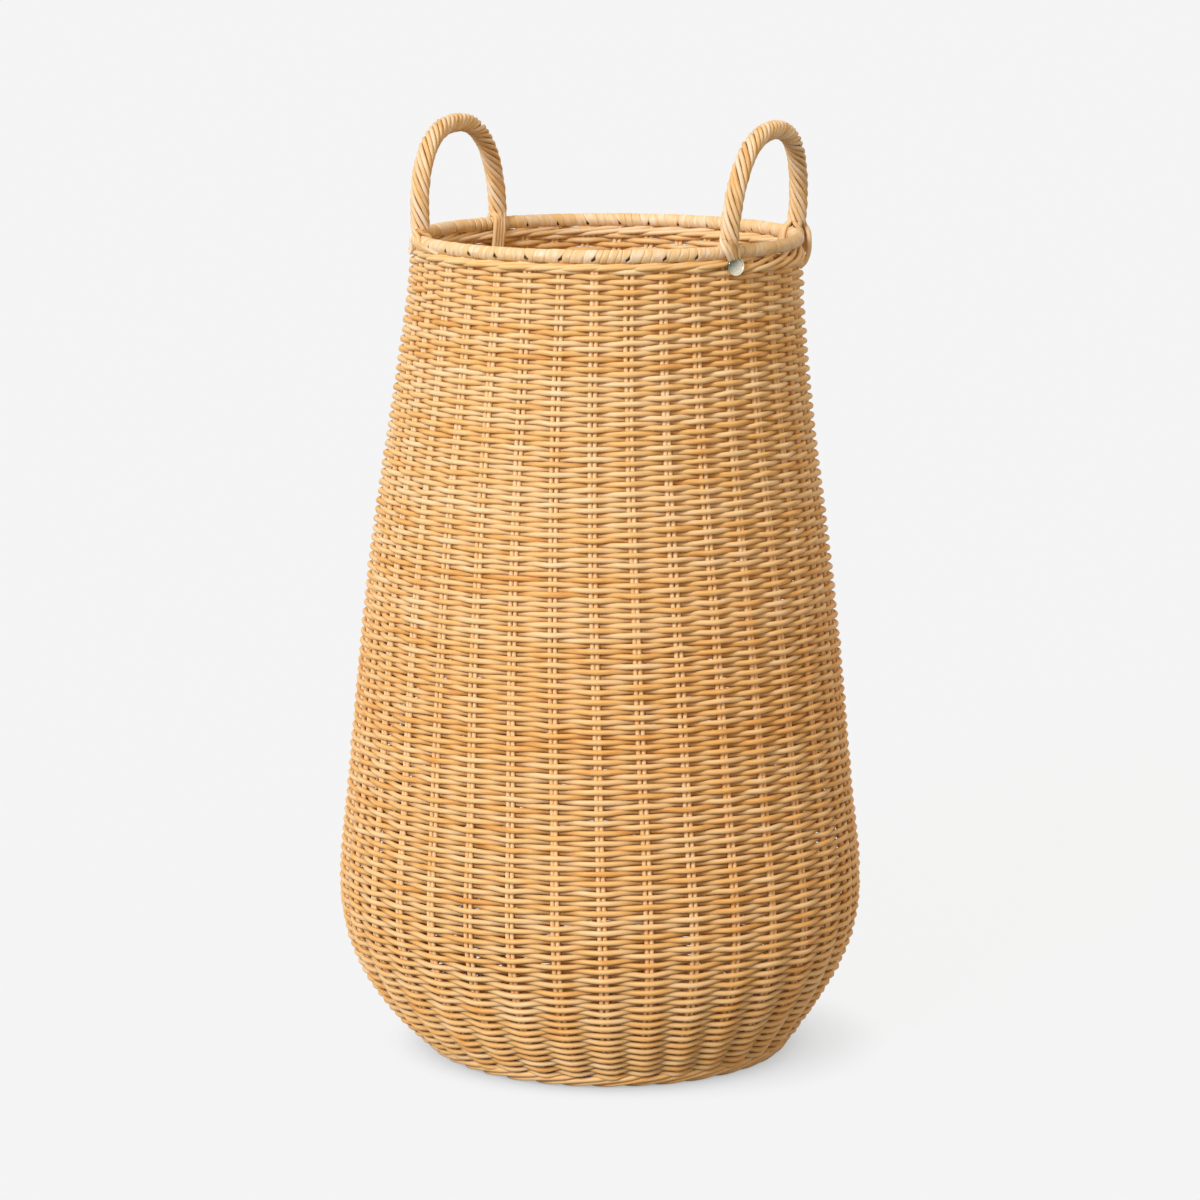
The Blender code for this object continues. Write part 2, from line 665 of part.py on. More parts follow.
def main():
    for leftover in list(bpy.data.objects):
        bpy.data.objects.remove(leftover, do_unlink=True)

    add_foot_border()
    add_base()
    upsett, lower, belly, middle, upper = weave_heights()
    wall_band("upsett_weave", upsett, RATTAN)
    wall_band("lower_weave", lower, RATTAN)
    wall_band("belly_weave", belly, RATTAN)
    wall_band("middle_weave", middle, RATTAN)
    wall_band("upper_weave", upper, RATTAN)
    for number, azimuth in enumerate(STAKE_AZIMUTHS, start=1):
        add_stake(number, azimuth)

    borders = add_borders()
    add_hoop()
    add_binding()
    add_handle("right", 0.0, RIGHT_HANDLE_OFFSET, RIGHT_HANDLE_LEAN)
    add_handle("left", math.pi, LEFT_HANDLE_OFFSET, LEFT_HANDLE_LEAN)
    span = HANDLE_HALF_SPAN
    add_handle_feet("right_handle_front_ends", -span, OUTSIDE_END_AT_TAG, INSIDE_END_AT_TAG)
    add_handle_feet("right_handle_back_ends", span, OUTSIDE_END, INSIDE_END)
    add_handle_feet("left_handle_front_ends", math.pi + span, OUTSIDE_END, INSIDE_END)
    add_handle_feet("left_handle_back_ends", math.pi - span, OUTSIDE_END, INSIDE_END)
    add_tag(borders)


main()
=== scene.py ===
# %% [markdown]
# # A belly basket in rattan
#
# The basket is woven from round rattan core. Pairs of upright rods, the stakes, stand round it,
# and thinner rods, the weavers, pass in front of one stake and behind the next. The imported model
# gives the solids as plain bands. Here every rod is drawn as the rod that it is.
#
# A weave could be faked with a bump pattern on the plain bands. It would look flat at the edges,
# and light could not pass between the rods. So the rods are real tubes, worked out as whole
# arrays of points, and each band of the solid model is replaced by the rods that it stands for.

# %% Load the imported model
import math

import bpy
import numpy as np
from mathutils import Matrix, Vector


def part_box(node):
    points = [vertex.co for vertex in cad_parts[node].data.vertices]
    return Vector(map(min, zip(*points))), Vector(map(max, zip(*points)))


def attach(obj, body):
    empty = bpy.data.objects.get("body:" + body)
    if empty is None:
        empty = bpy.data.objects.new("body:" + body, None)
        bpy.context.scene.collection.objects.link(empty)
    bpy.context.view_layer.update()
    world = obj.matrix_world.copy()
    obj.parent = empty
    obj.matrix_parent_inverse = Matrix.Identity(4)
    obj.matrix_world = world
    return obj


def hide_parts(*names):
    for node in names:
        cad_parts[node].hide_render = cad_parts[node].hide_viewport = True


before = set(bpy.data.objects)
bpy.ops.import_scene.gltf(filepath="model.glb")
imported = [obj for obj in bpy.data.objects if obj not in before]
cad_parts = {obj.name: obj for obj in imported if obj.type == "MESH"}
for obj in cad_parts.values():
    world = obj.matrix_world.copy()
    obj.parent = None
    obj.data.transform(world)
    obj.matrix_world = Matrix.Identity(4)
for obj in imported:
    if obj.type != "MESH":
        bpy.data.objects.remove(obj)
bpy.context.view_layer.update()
print("the packed model has", len(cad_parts), "nodes")

# %% [markdown]
# ## The sizes that everything follows
#
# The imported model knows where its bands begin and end, so heights and radii are read from it
# where they can be. What no box can tell, such as the curve of the side, is written here in
# metres and degrees, with the values that the solid model was made with.

# %% Sizes of the body


def top_of(node):
    """Height of a node's highest point."""
    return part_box(node)[1].z


def bottom_of(node):
    """Height of a node's lowest point."""
    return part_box(node)[0].z


STAKE_COUNT = 36
PITCH = 2.0 * math.pi / STAKE_COUNT
FIRST_STAKE = math.radians(6.4)
TWIST = math.radians(5.2)                # how far the foot is turned against the rim
LEAN_HEADING = math.radians(20.0)        # where foot and mouth are shifted to, against the belly
FOOT_LEAN, FOOT_LEAN_HEIGHT = 0.0065, 0.0600
MOUTH_LEAN, MOUTH_LEAN_START_SHARE = 0.0055, 0.61

FOOT_RADIUS = 0.1368
BELLY_RADIUS = 0.2000
BELLY_HEIGHT = 0.1250
MOUTH_RADIUS = 0.1470
# share of the way up from the belly to the rim, share of the way in
SIDE_SHARES = ((0.0, 0.0), (0.172, 0.142), (0.475, 0.423), (0.839, 0.883), (1.0, 1.0))

RIM_HEIGHT = 0.5 * (top_of("rim_hoop") + bottom_of("rim_hoop"))
BASE_BOTTOM = bottom_of("base_weave")
BASE_TOP = top_of("base_weave")
WALL = BASE_TOP - BASE_BOTTOM
RIM_RADIUS = MOUTH_RADIUS - 0.5 * WALL
RIM_DIP = 0.0008                         # half of what the rim hangs lower on its low side
DIP_HEADING = math.radians(-70.0)
MIDDLE = 0.5 * WALL                      # depth of the stakes' middle inside the outer surface
print("rim at", round(RIM_HEIGHT, 4), "m, wall", round(WALL * 1000, 1), "mm thick")

# %% [markdown]
# ## The curve of the side
#
# A basket maker bends the stakes out over the foot and in again to the mouth. Below the widest
# line the side is a parabola. Above it a smooth curve runs through a few listed points. A
# cubic curve with matching slopes at its points has no kinks, and it is cheap to evaluate for a
# million points at once.

# %% The body's surface


def share_in(up):
    """Read how far in the side has come: a cubic between points, with matching slopes at them."""
    ups, ins = np.array(SIDE_SHARES).T
    slopes = np.zeros(len(ups))
    slopes[1:-1] = (ins[2:] - ins[:-2]) / (ups[2:] - ups[:-2])
    i = np.clip(np.searchsorted(ups, up, side="right") - 1, 0, len(ups) - 2)
    span = ups[i + 1] - ups[i]
    t = (up - ups[i]) / span
    rise = t * t * (3.0 - 2.0 * t)
    start = span * slopes[i] * t * (1.0 - t) ** 2
    end = span * slopes[i + 1] * t * t * (1.0 - t)
    return ins[i] + (ins[i + 1] - ins[i]) * rise + start - end


def side_radius(height):
    """Outer radius at a height: a parabola below the widest line, the smooth curve above it."""
    below = np.clip(1.0 - height / BELLY_HEIGHT, 0.0, 1.0)
    up = np.clip((height - BELLY_HEIGHT) / (RIM_HEIGHT - BELLY_HEIGHT), 0.0, 1.0)
    low = BELLY_RADIUS - (BELLY_RADIUS - FOOT_RADIUS) * below * below
    high = BELLY_RADIUS - (BELLY_RADIUS - MOUTH_RADIUS) * share_in(up)
    return np.where(height < BELLY_HEIGHT, low, high)


SLOPE_STEP = 0.0012
MILLIMETRE = 0.001


def side_slope(height):
    """How fast the radius grows with height, as a difference over a short step up and down."""
    return (side_radius(height + SLOPE_STEP) - side_radius(height - SLOPE_STEP)) / (2.0 * SLOPE_STEP)


def settle(points):
    """Turn each point round the axis and shift it sideways, more at foot and mouth."""
    height = np.minimum(points[..., 2], RIM_HEIGHT)
    turn = TWIST * (1.0 - height / RIM_HEIGHT)
    start = MOUTH_LEAN_START_SHARE * RIM_HEIGHT
    above = np.clip((height - start) / (RIM_HEIGHT - start), 0.0, 1.0)
    below = np.clip(1.0 - height / FOOT_LEAN_HEIGHT, 0.0, 1.0)
    lean = MOUTH_LEAN * above ** 2 + FOOT_LEAN * below ** 2
    x = points[..., 0] * np.cos(turn) - points[..., 1] * np.sin(turn)
    y = points[..., 0] * np.sin(turn) + points[..., 1] * np.cos(turn)
    x = x + lean * math.cos(LEAN_HEADING)
    y = y + lean * math.sin(LEAN_HEADING)
    return np.stack((x, y, points[..., 2]), axis=-1)


def rim_level(azimuth):
    """Height of the hoop's middle: a cosine round the rim that takes off twice RIM_DIP at most."""
    return RIM_HEIGHT - RIM_DIP * (1.0 + np.cos(azimuth - DIP_HEADING))


def around(azimuth, radius, height):
    """Points at an azimuth, a radius from the axis and a height, then settled."""
    azimuth, radius, height = np.broadcast_arrays(azimuth, radius, height)
    x = radius * np.cos(azimuth)
    y = radius * np.sin(azimuth)
    return settle(np.stack((x, y, height), axis=-1))


def in_wall(azimuth, height, depth):
    """Points that lie a depth inside the outer surface, measured square to it."""
    slope = side_slope(height)
    length = np.sqrt(1.0 + slope * slope)
    return around(azimuth, side_radius(height) - depth / length, height + depth * slope / length)


def unit(vectors):
    """Vectors of the same direction, each one metre long."""
    return vectors / np.linalg.norm(vectors, axis=-1, keepdims=True)


def out_of_wall(azimuth, height):
    """Direction that points square out of the wall: from a point inside it to one outside."""
    return unit(in_wall(azimuth, height, -MILLIMETRE) - in_wall(azimuth, height, MILLIMETRE))


widest = in_wall(np.linspace(0.0, 2.0 * np.pi, 73), BELLY_HEIGHT, 0.0)
print("widest", round(float(np.ptp(widest[:, 0])), 4), "m")

# %% [markdown]
# ## From arrays to meshes
#
# Every rod is a tube: a ring of points carried along a path. All tubes of a piece are made in
# one go, as an array with one axis for the rods, one for the points of a path and one for the
# ring. The tube's map says where on the rod each corner lies: the first number is the distance
# along the rod in metres, the second counts the rods and adds the share of the way round. With
# that, a finish can give each rod its own tone and run the grain along it.

# %% Tubes and meshes
GRAIN = "grain_map"
ROUND_SHARE = 0.98                       # the map's way round a rod stays short of the next rod
LONGEST_START = 40.0                     # metres; each rod's grain begins at a place of its own


def tubes(paths, outward, radius, sides=8, closed=False, flat=1.0, first=0, seed=0, start=None):
    """Carry a ring along each path: middle + radius * (cos * sideways + flat * sin * outward).

    paths holds rods by points by xyz, and outward a direction for each point. The seam is on
    the side away from outward. Returns the points and a list of (faces, map) pairs.
    """
    rods, count, _ = paths.shape
    if closed:
        along = unit(np.roll(paths, -1, axis=1) - np.roll(paths, 1, axis=1))
    else:
        along = unit(np.gradient(paths, axis=1))
    outward = np.broadcast_to(outward, paths.shape)
    outward = unit(outward - along * (outward * along).sum(-1, keepdims=True))
    sideways = np.cross(along, outward)
    turn = 2.0 * np.pi * np.arange(sides) / sides - 0.5 * np.pi
    ring = (np.cos(turn)[:, None] * sideways[:, :, None]
            + flat * np.sin(turn)[:, None] * outward[:, :, None])
    radius = np.broadcast_to(radius, (rods, count))
    points = paths[:, :, None] + radius[:, :, None, None] * ring

    steps = np.linalg.norm(np.diff(paths, axis=1, append=paths[:, :1]), axis=-1)
    begin = np.random.default_rng(seed).uniform(0.0, LONGEST_START, rods) if start is None else start
    length = begin[:, None] + np.cumsum(np.c_[np.zeros(rods), steps], axis=1)

    spans = count if closed else count - 1
    rod, i, j = np.meshgrid(np.arange(rods), np.arange(spans), np.arange(sides), indexing="ij")
    after = (i + 1) % count
    beside = (j + 1) % sides
    corners = [(rod * count + a) * sides + b
               for a, b in ((i, j), (after, j), (after, beside), (i, beside))]
    faces = np.stack(corners, axis=-1).reshape(-1, 4)
    across = [first + rod + ROUND_SHARE * b / sides for b in (j, j, j + 1, j + 1)]
    distance = [length[rod, a] for a in (i, i + 1, i + 1, i)]
    chart = np.stack([np.stack(distance, -1), np.stack(across, -1)], axis=-1).reshape(-1, 4, 2)
    made = [(faces, chart)]
    if not closed:
        ring_index = np.arange(sides)
        rod_start = (np.arange(rods) * count * sides)[:, None]
        ends = ((rod_start + ring_index, length[:, 0]),
                (rod_start + (count - 1) * sides + ring_index[::-1], length[:, -2]))
        for cap, place in ends:
            spot = np.stack([np.repeat(place[:, None], sides, 1),
                             np.repeat(first + np.arange(rods)[:, None] + 0.5, sides, 1)], -1)
            made.append((cap, spot))
    return points.reshape(-1, 3), made


def build_mesh(name, parts, sharp=None, painted_gap_shade=None):
    """Join (points, [(faces, map), ...]) parts into one mesh, its map and smooth shading.

    The last argument gives each point's painted shade: nought on the surface and one at the bottom of a
    deep gap.
    """
    points, corners, chart, sizes = [], [], [], []
    done = 0
    for part_points, groups in parts:
        for faces, spots in groups:
            corners.append((faces + done).ravel())
            chart.append(np.asarray(spots, dtype=np.float32).reshape(-1, 2))
            sizes.append(np.full(len(faces), faces.shape[1]))
        points.append(part_points)
        done += len(part_points)
    points = np.concatenate(points).astype(np.float32)
    corners = np.concatenate(corners).astype(np.int32)
    sizes = np.concatenate(sizes)
    mesh = bpy.data.meshes.new(name)
    mesh.vertices.add(len(points))
    mesh.vertices.foreach_set("co", points.ravel())
    mesh.loops.add(len(corners))
    mesh.loops.foreach_set("vertex_index", corners)
    mesh.polygons.add(len(sizes))
    mesh.polygons.foreach_set("loop_start", (np.cumsum(sizes) - sizes).astype(np.int32))
    layer = mesh.uv_layers.new(name=GRAIN)
    layer.uv.foreach_set("vector", np.concatenate(chart).ravel())
    # the painted shade in gaps goes on as a point attribute, for the finish
    if painted_gap_shade is not None:
        mesh.attributes.new("painted_gap_shade", "FLOAT", "POINT").data.foreach_set("value", painted_gap_shade)
    mesh.update(calc_edges=True)
    mesh.validate()
    mesh.shade_smooth()
    if sharp is not None:
        mesh.set_sharp_from_angle(angle=math.radians(sharp))
    return mesh


def add_piece(name, mesh, finish, slot, *nodes):
    """Put a mesh into the scene as one piece that stands for some nodes of the solid model."""
    mesh.materials.append(finish)
    piece = bpy.data.objects.new(name, mesh)
    bpy.context.scene.collection.objects.link(piece)
    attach(piece, "root")
    if nodes:
        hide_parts(*nodes)
    corners = np.empty(len(mesh.polygons), dtype=np.int32)
    mesh.polygons.foreach_get("loop_total", corners)
    print(name, "has", int((corners - 2).sum()), "triangles")


# %% [markdown]
# ## The finish of rattan
#
# Rattan core is pale tan wood with long open fibres and a soft sheen. No two rods have the same
# tone, and one rod changes tone slowly along its length. A picture of rattan wrapped on the rods
# would repeat and blur. Noise read along the rod does not: one value for each rod, a slow one
# along it, a patchy one, and a fine one stretched into fibres that also drives the bump and the
# roughness. Their sum picks a tone from a row of four. Two painted shades come on top: a point
# attribute darkens what lies deep in a gap, and low down the rods are a little darker and more golden.

# %% Small helpers for finishes


def node(tree, kind, **settings):
    """Add one shader node and set its properties and its plain inputs."""
    made = tree.nodes.new(kind)
    for name, value in settings.items():
        if name in made.inputs:
            made.inputs[name].default_value = value
        else:
            setattr(made, name, value)
    return made


def maths(tree, operation, first, second=0.0, third=0.0):
    """A Math node whose inputs are numbers or sockets."""
    made = node(tree, "ShaderNodeMath", operation=operation)
    for i, value in enumerate((first, second, third)):
        if isinstance(value, (int, float)):
            made.inputs[i].default_value = value
        else:
            tree.links.new(value, made.inputs[i])
    return made.outputs[0]


def on_object(tree):
    """Object coordinates: places in metres along the piece's own axes."""
    return node(tree, "ShaderNodeTexCoord").outputs["Object"]


def fade(tree, value, low, high, at_low, at_high, kind="LINEAR"):
    """A Map Range node: at_low up to the value low, at_high from the value high on."""
    made = node(tree, "ShaderNodeMapRange", interpolation_type=kind,
                **{"From Min": low, "From Max": high, "To Min": at_low, "To Max": at_high})
    tree.links.new(value, made.inputs["Value"])
    return made.outputs["Result"]


def new_finish(name):
    """A material, its node tree and its Principled shader."""
    finish = bpy.data.materials.new(name)
    finish.use_nodes = True
    return finish, finish.node_tree, finish.node_tree.nodes["Principled BSDF"]


# %% Rattan with a map along the rod
CONTRAST = 1.6                           # how far the noises spread over the row of tones
RAMP_START, RAMP_END = 0.08, 0.97
SLOW_WAVES, PATCH_WAVES, FIBRE_WAVES = 11.0, 48.0, 70.0    # for each metre of rod
PATCHES_ROUND = 1.7                      # patches from one rod to the next
ROD_SHIFT = 7.31                         # how far off the slow noise is read for the next rod
FIBRES_ROUND = 11.0
PAINTED_SHADE_BROWN = (0.035, 0.012, 0.004)       # painted shade, at the bottom of a gap
PAINTED_LOW_SHADE = (1.0, 0.935, 0.85)            # painted shade: what a tone is multiplied by low down
GOLDEN_BELOW, PALE_ABOVE = 0.26, 0.50    # heights between which that fades
GLOSS = 0.28                             # strength of the sheen
ROUGHNESS, FIBRE_ROUGHNESS = 0.37, 0.30  # the least, and what a raised fibre adds
BUMP, FIBRE_RAISED = 0.7, 0.00012        # strength of the bump, and height of a fibre in metres


def tone_along(tree, along, across, waves, round_waves):
    """Noise read at (distance * waves, way across the rods * round_waves)."""
    noise = node(tree, "ShaderNodeTexNoise", noise_dimensions="2D", Scale=1.0, Detail=2.0)
    place = node(tree, "ShaderNodeCombineXYZ")
    tree.links.new(maths(tree, "MULTIPLY", along, waves), place.inputs[0])
    tree.links.new(maths(tree, "MULTIPLY", across, round_waves), place.inputs[1])
    tree.links.new(place.outputs[0], noise.inputs["Vector"])
    return noise.outputs["Fac"]


def rattan(name, tones, each=0.27, slow=0.43, patch=0.45, streak=0.40, fibres=FIBRES_ROUND):
    """Rattan: 0.5 plus the noises' weighted distance from 0.5 picks a tone from a ramp."""
    finish, tree, shader = new_finish(name)
    link = tree.links.new
    spot = node(tree, "ShaderNodeSeparateXYZ")
    link(node(tree, "ShaderNodeUVMap", uv_map=GRAIN).outputs[0], spot.inputs[0])
    along, across = spot.outputs[0], spot.outputs[1]
    number = maths(tree, "FLOOR", across)
    own = node(tree, "ShaderNodeTexWhiteNoise", noise_dimensions="1D")
    link(number, own.inputs["W"])

    parts = ((own.outputs["Value"], each),
             (tone_along(tree, along, number, SLOW_WAVES, ROD_SHIFT), slow),
             (tone_along(tree, along, across, PATCH_WAVES, PATCHES_ROUND), patch),
             (tone_along(tree, along, across, FIBRE_WAVES, fibres), streak))
    tone = 0.5
    for value, weight in parts:
        off = maths(tree, "SUBTRACT", value, 0.5)
        tone = maths(tree, "MULTIPLY_ADD", off, weight * CONTRAST, tone)
    fibre = parts[3][0]
    ramp = node(tree, "ShaderNodeValToRGB")
    stops = ramp.color_ramp.elements
    stops[0].position = RAMP_START
    stops[1].position = RAMP_END
    for _ in tones[2:]:
        stops.new(0.5 * (RAMP_START + RAMP_END))
    for k, colour in enumerate(tones):
        stops[k].position = RAMP_START + (RAMP_END - RAMP_START) * k / (len(tones) - 1.0)
        stops[k].color = (*colour, 1.0)
    link(tone, ramp.inputs["Fac"])
    # painted shade: the point attribute mixes the tone towards a dark brown deep in a gap
    shade = node(tree, "ShaderNodeMix", data_type="RGBA")
    link(node(tree, "ShaderNodeAttribute", attribute_name="painted_gap_shade").outputs["Fac"], shade.inputs[0])
    link(ramp.outputs["Color"], shade.inputs[6])
    shade.inputs[7].default_value = (*PAINTED_SHADE_BROWN, 1.0)
    # painted shade: low down the tone is multiplied by a warm tint, so it turns a little darker and
    # more golden
    place = node(tree, "ShaderNodeSeparateXYZ")
    link(on_object(tree), place.inputs[0])
    low_shade = node(tree, "ShaderNodeMix", data_type="RGBA", blend_type="MULTIPLY")
    link(fade(tree, place.outputs[2], GOLDEN_BELOW, PALE_ABOVE, 1.0, 0.0), low_shade.inputs[0])
    link(shade.outputs[2], low_shade.inputs[6])
    low_shade.inputs[7].default_value = (*PAINTED_LOW_SHADE, 1.0)
    link(low_shade.outputs[2], shader.inputs["Base Color"])
    shader.inputs["Specular IOR Level"].default_value = GLOSS
    link(maths(tree, "MULTIPLY_ADD", fibre, FIBRE_ROUGHNESS, ROUGHNESS), shader.inputs["Roughness"])
    bump = node(tree, "ShaderNodeBump", Strength=BUMP, Distance=FIBRE_RAISED)
    link(fibre, bump.inputs["Height"])
    link(bump.outputs["Normal"], shader.inputs["Normal"])
    return finish


# %% The finishes of the rods
CREAM = (0.885, 0.665, 0.395)            # the warmer row, for what is woven
PALE = (0.86, 0.58, 0.285)
GOLDEN = (0.82, 0.49, 0.175)
ORANGE = (0.71, 0.35, 0.10)
IVORY = (0.87, 0.715, 0.545)             # the paler row, for the handles, the rim and inside it
STRAW = (0.84, 0.625, 0.395)
HONEY = (0.79, 0.525, 0.245)
TAN = (0.67, 0.365, 0.12)
BROWN = (0.5, 0.25, 0.08)
UMBER = (0.4, 0.18, 0.05)
weave_finish = rattan("woven_rattan", (CREAM, PALE, GOLDEN, ORANGE))
stake_finish = rattan("stake_rattan", (CREAM, CREAM, PALE, GOLDEN))
border_finish = rattan("border_rattan", (CREAM, PALE, GOLDEN, ORANGE))
foot_finish = rattan("foot_rattan", (PALE, PALE, GOLDEN, ORANGE), each=0.18)
binding_finish = rattan("split_cane", (IVORY, STRAW, HONEY, HONEY), each=0.16, slow=0.3,
                        patch=0.25, streak=1.0, fibres=8.0)
handle_finish = rattan("rope_rattan", (IVORY, STRAW, HONEY, TAN))
inner_finish = rattan("inner_rattan", (STRAW, STRAW, HONEY, HONEY))
hoop_finish = rattan("hoop_rattan", (GOLDEN, ORANGE, BROWN, UMBER))
print("finishes:", ", ".join(finish.name for finish in bpy.data.materials))

# %% [markdown]
# ## The weavers
#
# One row of weaving is one rod that goes once round the basket. It lies outside a stake, then
# inside the next, and the row above does the opposite. A cosine would be too soft: a real rod
# lies flat over the pair of stakes, runs straight to the other side of the wall and lies flat
# again. So the wave is a straight line with rounded corners, in front where the count of stake and
# row is even and behind where it is odd. Rows follow each other a little closer than the rods'
# thickness, because neighbours are pressed together, and that is measured along the curve of the
# side and not straight up.
#
# Hand work is never exact, so each crossing is a little tighter or looser, and the rows wander
# up and down together. A rod's surface gets a painted shade, the gap's dark tone, near the middle
# of the wall.

# %% Rows of weaving
WEAVER_RADIUS = 0.00203
WAVE = 0.00308                           # from the stakes' middle to a weaver's middle
FLAT_HALF = 0.0030                       # half of the stretch that lies flat over a stake pair
STEPS_PER_STAKE = 8
CORNER_POWER = 7.0                       # the higher, the sharper the weaver bends
GAP_SHADE_LOW, GAP_SHADE_HIGH = 0.48, 0.15     # painted shade: how much darker the rods are inside the wall, low and high
GAP_SHADE_HEIGHTS = (0.02, 0.40)            # where that is low and high
GAP_SHADE_REACH = 0.0017                    # how far from the wall's middle that reaches
LOW_PITCH, HIGH_PITCH = 0.00370, 0.00360    # from row to row along the side: low, high
SIDE_SAMPLES = 4000                      # heights at which rows are counted
UNEVEN_DEPTH = 0.00018                   # spreads of what a hand does differently at each stake
UNEVEN_SAG = 0.00024
UNEVEN_HEIGHT = 0.00010
UNEVEN_THICKNESS = 0.00006
UNEVEN_RODS = 0.025                      # spread of the rods' thickness, as a share
ROW_WANDER = 0.0006                      # how far the rows wander up and down
WANDER_DRIFT = 0.12                      # how fast that changes from row to row
ANY_PHASE = 6.28                         # a wave begins anywhere in a turn
WEAVE_TOP = bottom_of("top_border_outside") + 0.0080
WEAVE_FOOT = BASE_BOTTOM - 0.0048


def row_heights():
    """Heights of the rows, spaced along the side by a pitch that shrinks towards the top."""
    height = np.linspace(WEAVE_FOOT, WEAVE_TOP, SIDE_SAMPLES)
    slope = side_slope(height)
    up = (height - WEAVE_FOOT) / (WEAVE_TOP - WEAVE_FOOT)
    pitch = LOW_PITCH + (HIGH_PITCH - LOW_PITCH) * up
    density = np.sqrt(1.0 + slope * slope) / pitch
    count = np.concatenate([[0.0], np.cumsum(0.5 * (density[1:] + density[:-1]) * np.diff(height))])
    rows = int(round(count[-1]))
    return np.interp((np.arange(rows) + 0.5) / rows * count[-1], count, height)


def wander(row, azimuth, size, seed, waves=6):
    """Smooth unevenness: a sum of waves round the basket whose phase drifts from row to row."""
    rng = np.random.default_rng(seed)
    total = 0.0
    for k in range(waves):
        total = total + rng.normal() * np.sin(
            (k + 1 + rng.integers(0, 4)) * azimuth + rng.uniform(0, ANY_PHASE)
            + row * rng.normal() * WANDER_DRIFT)
    return size * total / math.sqrt(waves)


def over_and_under(place, flat):
    """One in front of even places and minus one behind odd ones: straight runs, rounded corners.

    line falls evenly from the front to the back and passes one where the rod should lie flat.
    line / (1 + |line|^p)^(1/p) follows it and bends over to one; a high p bends it sharply.
    """
    from_front = np.arccos(np.cos(np.pi * place)) / np.pi
    line = (0.5 - from_front) / (0.5 - flat)
    return line / (1.0 + np.abs(line) ** CORNER_POWER) ** (1.0 / CORNER_POWER)


def weave_rows(rows, heights):
    """Rings of weavers: depth = middle - wave * over_and_under, with a hand's unevenness.

    Returns the tubes and, for each of their points, how dark its painted shade is: the tone for
    its height times exp(-(distance from the wall's middle / reach)^2).
    """
    rng = np.random.default_rng(1000 + int(rows[0]))
    row = rows[:, None].astype(float)
    step = np.arange(STAKE_COUNT * STEPS_PER_STAKE)
    stake = (step / STEPS_PER_STAKE)[None]
    azimuth = FIRST_STAKE + PITCH * stake
    crossing = step // STEPS_PER_STAKE
    share = (step % STEPS_PER_STAKE) / STEPS_PER_STAKE
    ease = share * share * (3.0 - 2.0 * share)

    def uneven(size):
        at_stake = rng.normal(0.0, size, (len(rows), STAKE_COUNT))
        return at_stake[:, crossing] * (1 - ease) + at_stake[:, (crossing + 1) % STAKE_COUNT] * ease

    level = heights[rows][:, None]
    flat = FLAT_HALF / (PITCH * side_radius(level))
    depth = MIDDLE - (WAVE + uneven(UNEVEN_DEPTH)) * over_and_under(stake + row, flat)
    sag = uneven(UNEVEN_SAG) * np.cos(2.0 * np.pi * stake)
    height = level + wander(row, azimuth, ROW_WANDER, 5) + uneven(UNEVEN_HEIGHT) + sag
    radius = WEAVER_RADIUS * (1.0 + rng.normal(0.0, UNEVEN_RODS, len(rows)))[:, None]
    radius = radius + uneven(UNEVEN_THICKNESS)
    paths = in_wall(azimuth, height, depth)
    out = out_of_wall(azimuth, height)
    part = tubes(paths, out, radius, closed=True, first=int(rows[0]), seed=int(rows[0]))
    points = part[0].reshape(*paths.shape[:2], -1, 3)
    # painted shade: darker near the wall's middle, and more so low down
    offset = ((points - paths[:, :, None]) * out[:, :, None]).sum(-1) + (MIDDLE - depth)[..., None]
    tone = np.interp(level, GAP_SHADE_HEIGHTS, (GAP_SHADE_LOW, GAP_SHADE_HIGH))[..., None]
    return part, (tone * np.exp(-(offset / GAP_SHADE_REACH) ** 2)).ravel()


ROWS = row_heights()
BANDS = (
    ("upsett_weavers", "upsett_weave", 0.0, top_of("upsett_weave")),
    ("lower_weavers", "lower_weave", top_of("upsett_weave"), top_of("lower_weave")),
    ("belly_weavers", "belly_weave", top_of("lower_weave"), top_of("belly_weave")),
    ("middle_weavers", "middle_weave", top_of("belly_weave"), top_of("middle_weave")),
    ("upper_weavers", "upper_weave", top_of("middle_weave"), WEAVE_TOP),
)
MOST_ROWS = 36                           # in one piece, so that it stays under 200,000 triangles
for name, solid, low, high in BANDS:
    rows = np.flatnonzero((ROWS > low) & (ROWS <= high))
    groups = np.array_split(rows, math.ceil(len(rows) / MOST_ROWS))
    for number, group in enumerate(groups, start=1):
        piece_name = name if len(groups) == 1 else "%s_%d" % (name, number)
        part, painted_gap_shade = weave_rows(group, ROWS)
        mesh = build_mesh(piece_name, [part], painted_gap_shade=painted_gap_shade)
        add_piece(piece_name, mesh, weave_finish, "rattan_weave", solid)
print(len(ROWS), "rows of weaving")

# %% [markdown]
# ## The stakes
#
# Each stake is a pair of rods that stand side by side. They show between the weavers wherever a
# row passes behind them. They run from the base up into the rim, and they sway and part a little
# on the way, since no rod is quite straight.

